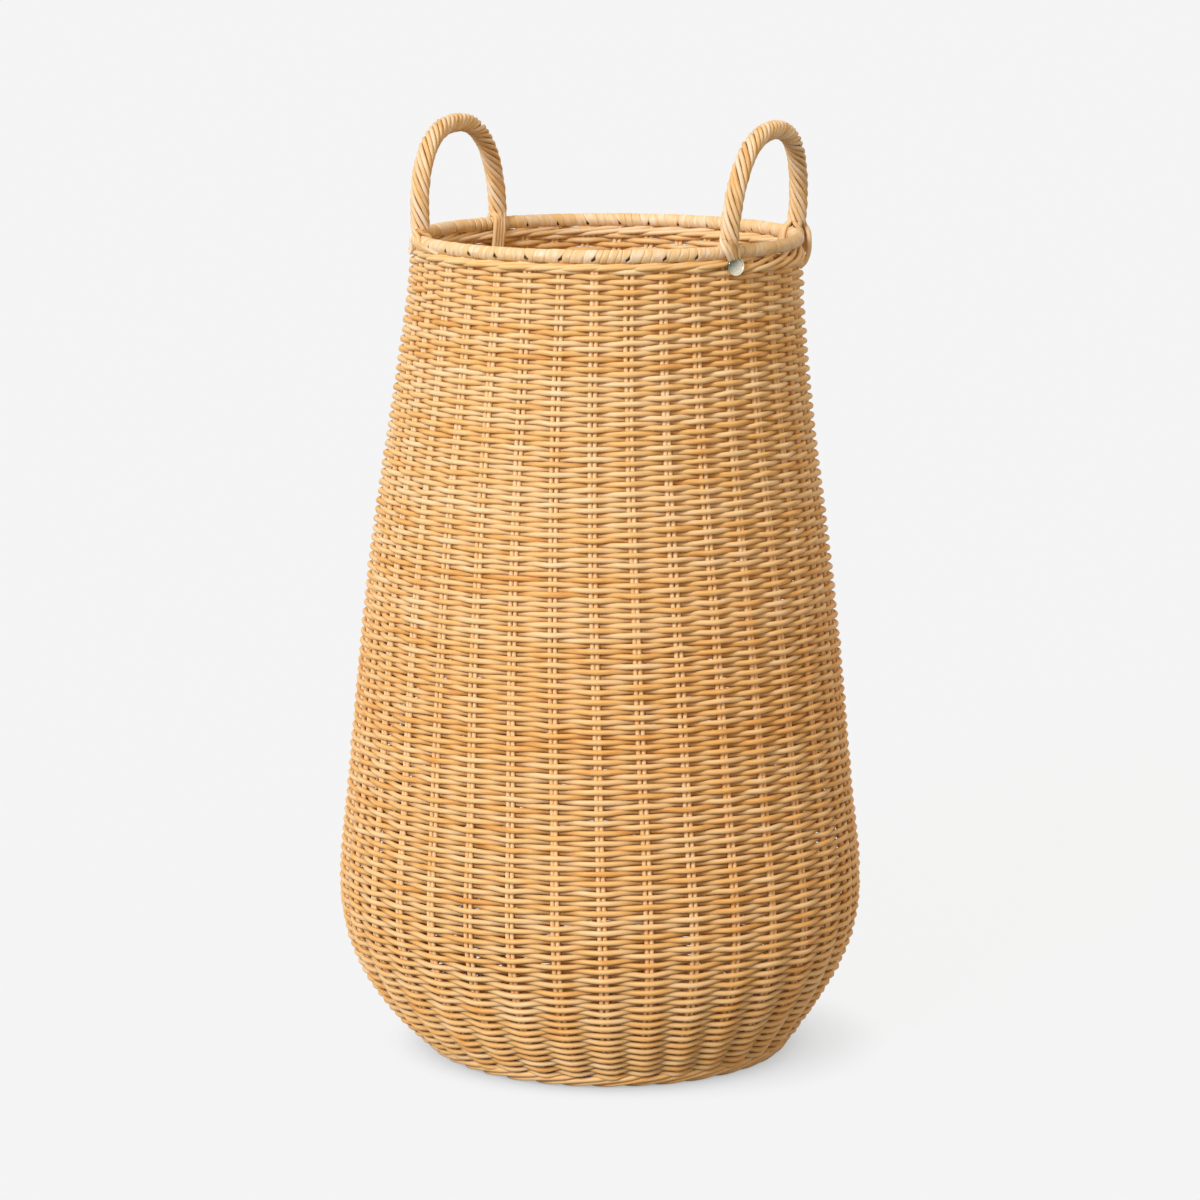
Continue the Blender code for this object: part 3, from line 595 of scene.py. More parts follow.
# %% Stake pairs
STAKE_RADIUS = 0.00170
STAKE_APART = 0.00188                    # from the pair's middle to the middle of a rod
STAKE_SWAY = 0.00022                     # spread of how far a pair sways, and its rods part
SWAY_PLACES, PARTING_PLACES = 12, 15     # heights at which that is drawn
STAKE_LEVELS = 110
STAKE_START = BASE_BOTTOM - 0.001
SWAY_TO = 0.7                            # the sway is drawn up to here, past the rim
stake_heights = np.linspace(STAKE_START, top_of("stake_01"), STAKE_LEVELS)
for k in range(STAKE_COUNT):
    rng = np.random.default_rng(300 + k)
    side = np.array([-1.0, 1.0])[:, None]
    sway, parting = (np.interp(stake_heights, np.linspace(0.0, SWAY_TO, places),
                               rng.normal(0.0, STAKE_SWAY, places))
                     for places in (SWAY_PLACES, PARTING_PLACES))
    apart = STAKE_APART + parting
    across = (sway + side * apart) / side_radius(stake_heights)
    azimuth = FIRST_STAKE + PITCH * k + across
    paths = in_wall(azimuth, stake_heights[None] + 0.0 * side, MIDDLE)
    rods = tubes(paths, out_of_wall(azimuth, stake_heights), STAKE_RADIUS, first=2 * k, seed=k)
    name = "stake_%02d" % (k + 1)
    add_piece("rods_of_" + name, build_mesh(name, [rods], sharp=60), stake_finish,
              "rattan_stake", name)

# %% [markdown]
# ## Strands that follow chosen points
#
# Borders and handle ends are rods that bend through a few places. A strand is written as the
# places that it visits. A curve drawn by control handles would pass beside some of them. So a
# cubic is used whose slope at each place is half the step between the places before and after: it
# passes through all of them and needs nothing else.

# %% A smooth curve through points


def smooth_through(points, count):
    """Cubic curve through points, on the second to last axis: count samples of it.

    Between b and c, with a before them and d after, it is half of 2b + (c - a)t
    + (2a - 5b + 4c - d)t^2 + (3b - a - 3c + d)t^3.
    """
    points = np.asarray(points, dtype=float)
    before = 2 * points[..., :1, :] - points[..., 1:2, :]
    behind = 2 * points[..., -1:, :] - points[..., -2:-1, :]
    padded = np.concatenate([before, points, behind], axis=-2)
    spans = points.shape[-2] - 1
    at = np.linspace(0.0, spans, count)
    i = np.minimum(at.astype(int), spans - 1)
    t = (at - i)[:, None]
    a, b, c, d = (padded[..., i + k, :] for k in range(4))
    return 0.5 * (2 * b + (c - a) * t + (2 * a - 5 * b + 4 * c - d) * t ** 2
                  + (3 * b - a - 3 * c + d) * t ** 3)


# %% [markdown]
# ## Foot border
#
# Under the last row the stakes are turned to the left and laid over each other, so that the
# basket stands on a rope-like ring. Every strand leaves its stake, comes to the front, slants
# down past its neighbours, and is tucked away under the base.

# %% The plaited foot
FOOT_STRAND = 0.00212                    # a strand's radius
FOOT_SAMPLES = 34
START_SPREAD = 0.012                     # how unevenly strands start round the basket, in radians
STRAND_SPREAD = 0.0002                   # and how unevenly they lie
# pitches round the basket, height, inset from the outer surface
FOOT_ROUTE = (
    (0.08, 0.0140, 0.0056),
    (-0.08, 0.0106, 0.0032),
    (-0.45, 0.0086, 0.0012),
    (-0.95, 0.0070, 0.0006),
    (-1.50, 0.0052, 0.0004),
    (-2.00, 0.0032, 0.0005),
    (-2.40, 0.0022, 0.0026),
    (-2.80, 0.0021, 0.0080),
    (-3.20, 0.0040, 0.0130),
    (-3.40, 0.0080, 0.0160),
)
FOOT_HEART = np.array([0.0, 0.0, 0.03])  # strands turn their faces away from here


def foot_strands():
    """Strands through the places of the route, one for each stake."""
    rng = np.random.default_rng(41)
    count = STAKE_COUNT
    route = smooth_through(np.array(FOOT_ROUTE), FOOT_SAMPLES)
    start = FIRST_STAKE + PITCH * np.arange(count)[:, None]
    start = start + rng.normal(0, START_SPREAD, (count, 1))
    azimuth = start + PITCH * route[:, 0]
    height = np.maximum(route[:, 1] + rng.normal(0, STRAND_SPREAD, (count, 1)), FOOT_STRAND)
    inset = route[:, 2] + rng.normal(0, STRAND_SPREAD, (count, 1))
    paths = around(azimuth, side_radius(height) - FOOT_STRAND - inset, height)
    return tubes(paths, unit(paths - FOOT_HEART), FOOT_STRAND, seed=41)


add_piece("foot_border_strands", build_mesh("foot_border_strands", [foot_strands()], sharp=60),
          foot_finish, "rattan_border", "foot_border")

# %% [markdown]
# ## Base
#
# The photo does not show the base. Such a basket is begun on two crossing bundles of sticks,
# and the disc is woven round them in the same plain weave as the side. A cosine is enough for
# the weave here, because it is only seen from above, through the mouth.

# %% The woven base
BASE_MIDDLE = 0.5 * (BASE_BOTTOM + BASE_TOP)
BUNDLE_HALF = 0.0110                     # half the width of a bundle of sticks
BUNDLE_THICK = 0.0034
BUNDLE_STICKS = 7
CLIMB = 0.0030                           # a ring climbs over a bundle within this width
BASE_FIRST_RING = 0.0160                 # radius of the innermost ring
LAST_RING_GAP = 0.0030                   # from the last ring to the side
FIRST_SPOKE_POINT = 0.0300               # spokes start beside the bundles
SPOKE_APART = 0.0015
RING_STEPS = 6                           # points on a ring from one spoke to the next
SPOKE_POINTS, STICK_POINTS = 8, 12
UP = np.array([0.0, 0.0, 1.0])


def base_rings():
    """Rings of weavers in the disc: height = middle + wave * cos(pi * (spoke + ring)).

    They stay above the lower bundle of sticks and below the upper one.
    """
    outer = float(side_radius(BASE_MIDDLE)) - WALL - LAST_RING_GAP
    radii = np.arange(BASE_FIRST_RING, outer, LOW_PITCH)
    ring = np.arange(len(radii))[:, None]
    spoke = (np.arange(STAKE_COUNT * RING_STEPS) / RING_STEPS)[None]
    azimuth = FIRST_STAKE + PITCH * spoke
    radius = radii[:, None] + 0.0 * azimuth
    height = BASE_MIDDLE + WAVE * np.cos(np.pi * (spoke + ring))
    x = radius * np.cos(azimuth)
    y = radius * np.sin(azimuth)
    over_low = np.clip((BUNDLE_HALF + CLIMB - np.abs(y)) / CLIMB, 0.0, 1.0)
    under_high = np.clip((BUNDLE_HALF + CLIMB - np.abs(x)) / CLIMB, 0.0, 1.0)
    lowest = BASE_BOTTOM + BUNDLE_THICK + WEAVER_RADIUS
    highest = BASE_TOP - BUNDLE_THICK - WEAVER_RADIUS
    height = np.maximum(height, height * (1 - over_low) + lowest * over_low)
    height = np.minimum(height, height * (1 - under_high) + highest * under_high)
    return tubes(around(azimuth, radius, height), UP, WEAVER_RADIUS, closed=True, seed=77)


def base_spokes():
    """Pairs of straight rods that run from near the middle of the disc to the side."""
    outer = float(side_radius(BASE_MIDDLE)) - WALL
    radius = np.linspace(FIRST_SPOKE_POINT, outer, SPOKE_POINTS)
    side = np.tile([-SPOKE_APART, SPOKE_APART], STAKE_COUNT)[:, None]
    azimuth = np.repeat(FIRST_STAKE + PITCH * np.arange(STAKE_COUNT), 2)[:, None] + side / radius
    paths = around(azimuth, radius + 0.0 * azimuth, BASE_MIDDLE)
    return tubes(paths, UP, STAKE_RADIUS, sides=6, first=100, seed=78)


def stick_bundle(solid, seed):
    """Straight sticks side by side in the box of a solid bundle."""
    low, high = (np.array(corner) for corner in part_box(solid))
    size = high - low
    long = 0 if size[0] > size[1] else 1
    wide = 1 - long
    middle = 0.5 * (low + high)
    thick = high[2] - low[2]
    places = low[wide] + size[wide] * (np.arange(BUNDLE_STICKS) + 0.5) / BUNDLE_STICKS
    paths = np.zeros((BUNDLE_STICKS, STICK_POINTS, 3))
    paths[..., long] = np.linspace(low[long], high[long], STICK_POINTS)
    paths[..., wide] = places[:, None]
    paths[..., 2] = middle[2]
    return tubes(paths, UP, 0.5 * thick, seed=seed)


add_piece("base_weavers", build_mesh("base_weavers", [base_rings(), base_spokes()], sharp=70),
          weave_finish, "rattan_weave", "base_weave")
for number, solid in enumerate(("base_sticks_under", "base_sticks_over")):
    add_piece(solid + "_bundle", build_mesh(solid, [stick_bundle(solid, 80 + number)], sharp=60),
              stake_finish, "rattan_stake", solid)

# %% [markdown]
# ## Top borders
#
# Under the rim the spare ends of the stakes are laid down as slanting strands, outside and
# inside. Outside they rise to the right. Under the right handle they start lower and rise more
# steeply, so more of them shows, because the ends of the handle's rope are worked in there. The
# same route serves both sides: inside it runs the other way round and its depth counts from
# within.

# %% Slanting strands under the rim
BORDER_STRAND = 0.00178                  # a strand's radius
BORDER_LOW = WEAVE_TOP + 0.0006          # where the share of the way up is nought
BORDER_UNDER = 0.0056                    # from the hoop's middle down to where it is one
BORDER_SAMPLES = 26
BORDER_SPREAD = 0.00025
BORDER_WANDER = 0.0003
LEAST_DEPTH = 0.0004
ZONE_HEADING = math.radians(-2.0)        # the stretch under the right handle
ZONE_HALF, ZONE_FADE = math.radians(44.0), math.radians(12.0)
ZONE_DROP_OUTSIDE, ZONE_DROP_INSIDE = 0.0058, 0.0010
ZONE_PUSH = 0.0005                       # how far the strands stand out there
# pitches along, share of the way up, depth
BORDER_ROUTE = (
    (-0.30, -0.40, 0.0062),
    (-0.12, -0.16, 0.0034),
    (0.10, 0.00, 0.0013),
    (0.55, 0.18, 0.0008),
    (1.10, 0.46, 0.0014),
    (1.60, 0.76, 0.0028),
    (2.00, 1.00, 0.0045),
    (2.30, 1.15, 0.0058),
)


def under_right_handle(azimuth):
    """One under the right handle and nought elsewhere, with soft ends."""
    away = np.abs((azimuth - ZONE_HEADING + np.pi) % (2 * np.pi) - np.pi)
    return np.clip((ZONE_HALF - away) / ZONE_FADE, 0.0, 1.0)


def border_strands(heading, inner, seed):
    """Strands through the places of the route, in front of the wall or behind it."""
    rng = np.random.default_rng(seed)
    count = STAKE_COUNT
    route = smooth_through(np.array(BORDER_ROUTE), BORDER_SAMPLES)
    start = (FIRST_STAKE + PITCH * np.arange(count))[:, None]
    start = start + rng.normal(0.0, START_SPREAD, (count, 1))
    azimuth = start + heading * PITCH * route[:, 0]
    drop = ZONE_DROP_INSIDE if inner else ZONE_DROP_OUTSIDE
    low = BORDER_LOW - drop * under_right_handle(start)
    low = low + rng.normal(0, BORDER_SPREAD, (count, 1))
    high = rim_level(azimuth) - BORDER_UNDER
    height = low + (high - low) * route[:, 1] + wander(0.0, azimuth, BORDER_WANDER, seed)
    depth = np.maximum(route[:, 2] + rng.normal(0.0, STRAND_SPREAD, (count, 1)), LEAST_DEPTH)
    if inner:
        depth = WALL - depth
    else:
        depth = depth - ZONE_PUSH * under_right_handle(azimuth)
    paths = in_wall(azimuth, height, depth)
    outward = out_of_wall(azimuth, height) * (-1.0 if inner else 1.0)
    return tubes(paths, outward, BORDER_STRAND, seed=seed)


add_piece("top_border_outside_strands",
          build_mesh("top_border_outside_strands", [border_strands(1.0, False, 51)], sharp=60),
          border_finish, "rattan_border", "top_border_outside")
add_piece("top_border_inside_strands",
          build_mesh("top_border_inside_strands", [border_strands(-1.0, True, 52)], sharp=60),
          inner_finish, "rattan_border", "top_border_inside")

# %% [markdown]
# ## Rim
#
# A thick rod lies on top of the stakes, and flat cane is wound tightly round it. The wraps lie
# edge to edge, so the rim is a smooth tube with fine seams. Wherever a stake comes up into it the
# wraps part and leave a small dark hole low down. Between the feet of a handle the wraps are
# wider, and there are no holes.
#
# The tube is one surface of two parameters: how far along the rim, and the angle round the tube.
# A wrap is seven columns of points, and it is a little thinner at its edges. Between two wraps
# lie two more columns, deeper down, that close the seam. At a stake the wraps' edges move apart
# and these two sink nearly to the middle, so a hole opens. A point attribute gives the finish a
# painted shade that darkens the seams' beds, the holes and the wraps' edges beside them, on top
# of their real depth.

# %% Sizes of the wound rim
BINDING_PROUD = 0.0003                   # how far the wraps lie outside the solid ring
BINDING_RADIUS = 0.5 * (top_of("rim_binding") - bottom_of("rim_binding")) + BINDING_PROUD
ROUND_STEPS = 44
COVERED_HALF = math.radians(31.0)        # half the stretch between a handle's feet
SEAM_SPREAD = 0.006                      # how unevenly the first seam meets its stake, in radians
FEWEST_WRAPS, MOST_WRAPS = 3, 5          # from one stake to the next
WRAP_WIDTHS = (0.7, 1.7)                 # widths of neighbours against each other
WRAP_ACROSS = (0.0, 0.05, 0.18, 0.5, 0.82, 0.95, 1.0)
WRAP_SWELL = 0.00011                     # spread of the wraps' thickness
CROWN_POWER = 8                          # how flat a wrap is across
SEAM_DEPTH = 0.00030                     # how much lower its edges are
SEAM_BED = 0.00065                       # and how much lower the seam's bed is
SEAM_GAP, COVERED_GAP = 0.00006, 0.0002  # half a seam's width, and what handles add to it
SEAM_LEAN, LEAN_SPREAD = 0.0090, 0.0030  # how far a seam leans round the rim, in radians
HOLE_LEAN, HOLE_LEAN_SPREAD = -0.003, 0.009
COVERED_LEAN = 0.010
HOLE_HALF = 0.00140                      # half the width of a hole at a stake
HOLE_FLOOR = 0.0018                      # radius of the tube at its bottom
HOLE_SIZES = (0.75, 1.2)
HOLE_BELOW_OUTSIDE, HOLE_BELOW_INSIDE = 27.0, 40.0    # degrees below the rim's middle line
HOLE_REACH_UP, HOLE_REACH_DOWN = 24.0, 14.0
HOLE_SHARE_INSIDE = 0.6
BED_COLUMNS = (1.75, 0.25)               # where its points lie, in gaps back from a wrap's edge
SEAM_PAINTED_SHADE = 0.40                       # painted shade: how dark a seam's bed is
EDGE_PAINTED_SHADE = 0.8                        # and that of a wrap's edge at a hole
HOLE_SINKS, HOLE_DARKENS, EDGE_DARKENS = 1.5, 4.0, 2.5    # how fast the bed sinks, and bed and edges take their painted shade, as a hole opens
GRAIN_WIDTH = 0.0110                     # width of cane that holds all fibres of the map
print("the wound rim is", round(2000.0 * BINDING_RADIUS, 1), "mm thick")


# %% The wound rim


def handle_cover(azimuth):
    """One where the rim runs between a handle's feet, nought elsewhere."""
    azimuth = (np.asarray(azimuth) + np.pi) % (2 * np.pi) - np.pi
    right = np.abs(azimuth) < COVERED_HALF
    left = np.abs(np.abs(azimuth) - np.pi) < COVERED_HALF
    return (right | left).astype(float)


def wrap_edges():
    """Azimuths of the seams, and for each seam one where it opens into a hole, else nought."""
    rng = np.random.default_rng(61)
    edges, holes = [], []
    for k in range(STAKE_COUNT):
        stake = FIRST_STAKE + PITCH * k
        edges.append(stake + rng.normal(0.0, SEAM_SPREAD))
        holes.append(1.0 - handle_cover(stake))
        wraps = int(rng.integers(FEWEST_WRAPS, MOST_WRAPS + 1))
        if handle_cover(stake) > 0.5 and handle_cover(stake + PITCH) > 0.5:
            wraps = 1
        cuts = np.cumsum(rng.uniform(*WRAP_WIDTHS, wraps))
        cuts = cuts[:-1] / cuts[-1]
        edges.extend(stake + PITCH * cuts)
        holes.extend(np.zeros(len(cuts)))
    return np.array(edges), np.array(holes)


def teardrop(spin):
    """Opening of a hole round the tube: exp(-(degrees from its widest place / reach)^2).

    The reach is longer upwards, so the hole has a long point up. Inside the rim it is smaller.
    """
    outside = np.cos(spin) > 0.0
    from_side = np.degrees(np.arccos(np.clip(np.abs(np.cos(spin)), 0.0, 1.0)))
    up = np.where(np.sin(spin) > 0.0, from_side, -from_side)
    up = up + np.where(outside, HOLE_BELOW_OUTSIDE, HOLE_BELOW_INSIDE)
    size = np.where(outside, 1.0, HOLE_SHARE_INSIDE)
    return size * np.exp(-np.where(up > 0.0, up / HOLE_REACH_UP, up / HOLE_REACH_DOWN) ** 2)


def wound_rim():
    """A tube round the rim: columns of points lean with the wraps and sink at the seams.

    Across a wrap the radius is full - depth * |2 * across - 1|^p. Returns the part and each
    point's painted shade, darker where it lies deep.
    """
    rng = np.random.default_rng(62)
    edges, holes = wrap_edges()
    count = len(edges)
    width = np.diff(edges, append=edges[0] + 2 * np.pi)
    spin = (2.0 * np.pi * np.arange(ROUND_STEPS) / ROUND_STEPS)[None, None, :]
    drop = teardrop(spin)
    covered = handle_cover(edges)[:, None, None]
    lean = rng.normal(SEAM_LEAN, LEAN_SPREAD, count)
    lean = lean + holes * rng.normal(HOLE_LEAN, HOLE_LEAN_SPREAD, count)
    shift = lean[:, None, None] * np.sin(spin) + COVERED_LEAN * covered * np.abs(np.cos(spin))
    open_by = (holes * rng.uniform(*HOLE_SIZES, count))[:, None, None] * drop
    gap = (SEAM_GAP + COVERED_GAP * covered + HOLE_HALF * open_by) / RIM_RADIUS

    left = edges[:, None, None] + gap + shift
    right = (edges + width)[:, None, None] - np.roll(gap, -1, axis=0) + np.roll(shift, -1, axis=0)
    across = np.array(WRAP_ACROSS)[None, :, None]
    azimuth = left + (right - left) * across
    crown = 1.0 - np.abs(2.0 * across - 1.0) ** CROWN_POWER
    swell = rng.normal(0.0, WRAP_SWELL, count)[:, None, None]
    wraps = BINDING_RADIUS - SEAM_DEPTH * (1.0 - crown) + swell * crown + 0.0 * spin

    seam_floor = BINDING_RADIUS - SEAM_BED
    bed = seam_floor - (seam_floor - HOLE_FLOOR) * np.clip(HOLE_SINKS * open_by, 0.0, 1.0)
    bed = bed + 0.0 * spin
    azimuth = np.concatenate([*(left - back * gap for back in BED_COLUMNS), azimuth], axis=1)
    radius = np.concatenate([bed, bed, wraps], axis=1)

    # painted shade: the seams' beds, the holes and the wraps' edges at them
    dark = SEAM_PAINTED_SHADE + (1.0 - SEAM_PAINTED_SHADE) * covered
    dark = np.clip(dark + HOLE_DARKENS * open_by, 0.0, 1.0) + 0.0 * spin
    edge = EDGE_PAINTED_SHADE * np.clip(EDGE_DARKENS * open_by, 0.0, 1.0) + 0.0 * spin
    middle = np.zeros((count, len(WRAP_ACROSS) - 2, ROUND_STEPS))
    painted_gap_shade = np.concatenate([dark, dark, edge, middle, np.roll(edge, -1, axis=0)], axis=1)
    columns = azimuth.shape[1]
    azimuth = azimuth.reshape(-1, ROUND_STEPS)
    radius = radius.reshape(-1, ROUND_STEPS)
    spin = np.broadcast_to(spin[0], azimuth.shape)
    points = around(azimuth, RIM_RADIUS + radius * np.cos(spin),
                    rim_level(azimuth) + radius * np.sin(spin))

    total = len(points)
    i, j = np.meshgrid(np.arange(total), np.arange(ROUND_STEPS), indexing="ij")
    after, beside = (i + 1) % total, (j + 1) % ROUND_STEPS
    faces = np.stack([a * ROUND_STEPS + b for a, b in
                      ((i, j), (after, j), (after, beside), (i, beside))], axis=-1)
    wrap = i // columns
    begin = rng.uniform(0.0, LONGEST_START, count)[wrap]
    column = i % columns
    share = (column - 2).clip(0) / (columns - 2.0)
    share_after = np.where(column == columns - 1, ROUND_SHARE, (column - 1).clip(0) / (columns - 2.0))
    wide = (width * RIM_RADIUS / GRAIN_WIDTH)[wrap]
    arc = BINDING_RADIUS * 2.0 * np.pi / ROUND_STEPS
    chart = [np.stack([begin + arc * b, wrap + ROUND_SHARE * np.minimum(s * wide, 1.0)], -1)
             for b, s in ((j, share), (j, share_after), (j + 1, share_after), (j + 1, share))]
    part = (points.reshape(-1, 3), [(faces.reshape(-1, 4), np.stack(chart, 2).reshape(-1, 4, 2))])
    return part, painted_gap_shade.ravel()


rim_part, rim_painted_shade = wound_rim()
add_piece("rim_wraps", build_mesh("rim_wraps", [rim_part], painted_gap_shade=rim_painted_shade), binding_finish,
          "rattan_binding", "rim_binding")

# %% The rod inside the rim
HOOP_RADIUS = 0.0028
HOOP_POINTS, HOOP_SIDES = 144, 12


def hoop():
    """The rod inside the wraps, as one ring."""
    azimuth = np.linspace(0.0, 2.0 * np.pi, HOOP_POINTS, endpoint=False)[None]
    paths = around(azimuth, RIM_RADIUS, rim_level(azimuth))
    return tubes(paths, UP, HOOP_RADIUS, sides=HOOP_SIDES, closed=True, seed=63)


add_piece("rim_rod", build_mesh("rim_rod", [hoop()]), hoop_finish, "rattan_hoop", "rim_hoop")

# %% [markdown]
# ## Handles
#
# A handle is a rope of eight rods laid round a stout one, bent to an arch. The arch is a
# superellipse, a little squarer than an ellipse, because the rope stands upright on the rim before
# it bends. Each rod is a helix round it: its middle is the arch's point plus a vector that turns
# steadily with the distance along it. The rope is laid to the left, so from every side its rods
# run down from upper left to lower right.

# %% The arch and the rope
HANDLE_HALF_SPAN = math.radians(33.5)    # half the angle between a handle's feet, from the axis
HANDLE_HEIGHT = 0.0820                   # from the hoop's middle up to the rope's at the top
ROPE_RADIUS = 0.0070
ROPE_STRANDS = 8
ROPE_STRAND_RADIUS = 0.00176
ROPE_LAY = 0.062                         # length of rope for one turn of a rod
ROPE_SAMPLES = 110
ROPE_PRESS = 0.0001                      # how far the rods stand out of the solid's tube
ROPE_SPREAD = 0.00012                    # how unevenly they stand out
STRAY, STRAY_PLACES = 0.065, 7           # how far a rod strays to the side, as a share of its width
ARCH_POWER = 2.4                         # two would be an ellipse; a higher power is squarer
ARCH_SAMPLES = 2001
ROPE_FOOT = bottom_of("right_handle_strands")
# heading; how far outside the hoop it stands; how far its top leans out; seed of its unevenness
HANDLES = {
    "right": (0.0, 0.0050, 0.0060, 5),
    "left": (math.pi, 0.0, 0.0036, 4),
}


def turned(points, heading):
    """Points turned round the upright axis."""
    c, s = math.cos(heading), math.sin(heading)
    x = points[..., 0] * c - points[..., 1] * s
    y = points[..., 0] * s + points[..., 1] * c
    return np.stack((x, y, points[..., 2]), axis=-1)


def arch(offset, lean, count):
    """Middle of a rope: across = cos^(2/p), up = sin^(2/p) of one angle, evenly re-spaced.

    Returns the points and the distance of each along the rope.
    """
    angle = np.linspace(0.0, np.pi, ARCH_SAMPLES)
    across = np.sign(np.cos(angle)) * np.abs(np.cos(angle)) ** (2.0 / ARCH_POWER)
    up = np.abs(np.sin(angle)) ** (2.0 / ARCH_POWER)
    up[[0, -1]] = 0.0
    outward = (RIM_RADIUS + offset) * math.cos(HANDLE_HALF_SPAN)
    half = (RIM_RADIUS + offset) * math.sin(HANDLE_HALF_SPAN)
    rise = RIM_HEIGHT + HANDLE_HEIGHT - ROPE_FOOT
    path = np.stack((outward + lean * up, half * across, ROPE_FOOT + rise * up), axis=-1)
    length = np.concatenate([[0.0], np.cumsum(np.linalg.norm(np.diff(path, axis=0), axis=-1))])
    even = np.linspace(0.0, length[-1], count)
    return np.stack([np.interp(even, length, path[:, k]) for k in range(3)], axis=-1), even


def rope(heading, offset, lean, seed):
    """Helices round the arch: turn = start - 2 pi * distance / lay, in the plane square to it.

    Returns the middles of the rods and the direction away from the rope's middle at each.
    """
    rng = np.random.default_rng(seed)
    path, even = arch(offset, lean, ROPE_SAMPLES)
    along = unit(np.gradient(path, axis=0))
    along[0] = (0.0, 0.0, 1.0)
    along[-1] = (0.0, 0.0, -1.0)
    outward = np.array([1.0, 0.0, 0.0])
    outward = unit(outward - along * (along @ outward)[:, None])
    side = np.cross(along, outward)
    stray = rng.normal(0.0, STRAY, (ROPE_STRANDS, STRAY_PLACES))
    where = np.linspace(0.0, even[-1], STRAY_PLACES)
    stray = np.array([np.interp(even, where, one) for one in stray])
    turn = 2.0 * np.pi * (np.arange(ROPE_STRANDS)[:, None] + stray) / ROPE_STRANDS
    turn = turn - 2.0 * np.pi * even / ROPE_LAY
    reach = ROPE_RADIUS + ROPE_PRESS - ROPE_STRAND_RADIUS
    reach = reach + rng.normal(0.0, ROPE_SPREAD, (ROPE_STRANDS, 1))
    away = np.cos(turn)[..., None] * outward + np.sin(turn)[..., None] * side
    return settle(turned(path + reach[..., None] * away, heading)), turned(away, heading)


ropes = {}
for side, (heading, offset, lean, seed) in HANDLES.items():
    ropes[side], away = rope(heading, offset, lean, seed)
    name = side + "_handle_rope"
    mesh = build_mesh(name, [tubes(ropes[side], away, ROPE_STRAND_RADIUS, seed=seed)], sharp=60)
    add_piece(name, mesh, handle_finish, "rattan_handle", side + "_handle_strands")

# %% [markdown]
# ## Handle ends
#
# At each foot the rods of the rope part. Some go over the rim and down inside, some pass outside
# it, and all are worked into the wall below. Each rod starts where the rope's rod ends, so the
# rope seems to run on without a joint.
#
# A rod's way is a list of places, given from the middle of the rim at that foot: how far out,
# how far along the rim, how far up. Most ways come from two short formulas, one for inside and one
# for outside. The few rods that lie in a loop or slant across are written place by place.

# %% Places and ways at the rim
NEAR = BINDING_RADIUS + ROPE_STRAND_RADIUS    # from the hoop's middle to a rod that lies on the rim
SPAN_STEPS = 6                           # points from one place to the next
ON_WALL = 0.0012                         # how far a rod's middle lies off the inner wall


def foot_frame(azimuth):
    """Middle of the hoop at a foot, with the outward and the sideways direction there."""
    out = np.array([math.cos(azimuth), math.sin(azimuth), 0.0])
    side = np.array([-math.sin(azimuth), math.cos(azimuth), 0.0])
    return around(azimuth, RIM_RADIUS, rim_level(azimuth)), out, side


def by_the_rim(azimuth, spot):
    """A point given as (outward, along the rim's curve, up) from the hoop's middle at a foot."""
    out, along, up = spot
    there = azimuth + along / RIM_RADIUS
    return around(there, RIM_RADIUS + out, rim_level(there) + up)


def inner_face(drop):
    """How far inside the hoop's middle a strand on the inner wall lies, at a drop below it."""
    height = RIM_HEIGHT - drop
    return RIM_RADIUS - (float(side_radius(height)) - WALL) + ON_WALL


def down_inside(places, drop, over=()):
    """Ways over the rim and down the inner wall to a drop, at (first, last) places along the rim.

    Each place on a way is (outward, along, up), as by_the_rim reads it.
    """
    return [(*((out, first, up) for out, up in over),
             (-0.82 * NEAR, 0.35 * first + 0.65 * last, 0.0042), (-NEAR, last, -0.0020),
             (-NEAR + 0.0001, last, -0.55 * min(drop, 0.018)),
             (-inner_face(0.6 * drop), last, -0.6 * drop), (-inner_face(drop), last, -drop))
            for first, last in places]


def down_outside(places, drop, reach=NEAR, tuck=0.0016):
    """Ways past the rim's outer side: (at the rope, at the rim, at the end) along the rim."""
    return [((0.80 * reach, 0.5 * (first + middle), 0.62 * NEAR), (reach, middle, -0.0002),
             (reach - 0.3 * tuck, 0.4 * middle + 0.6 * last, -0.6 * drop),
             (reach - tuck, last, -drop))
            for first, middle, last in places]


FACE_DROP = 0.010                        # rods turn their faces away from this far below the hoop
AT_RIM = 0.35                            # share of the way at which an end passes the rim
LEAD_IN = 5                              # points before the rope's end that give its direction


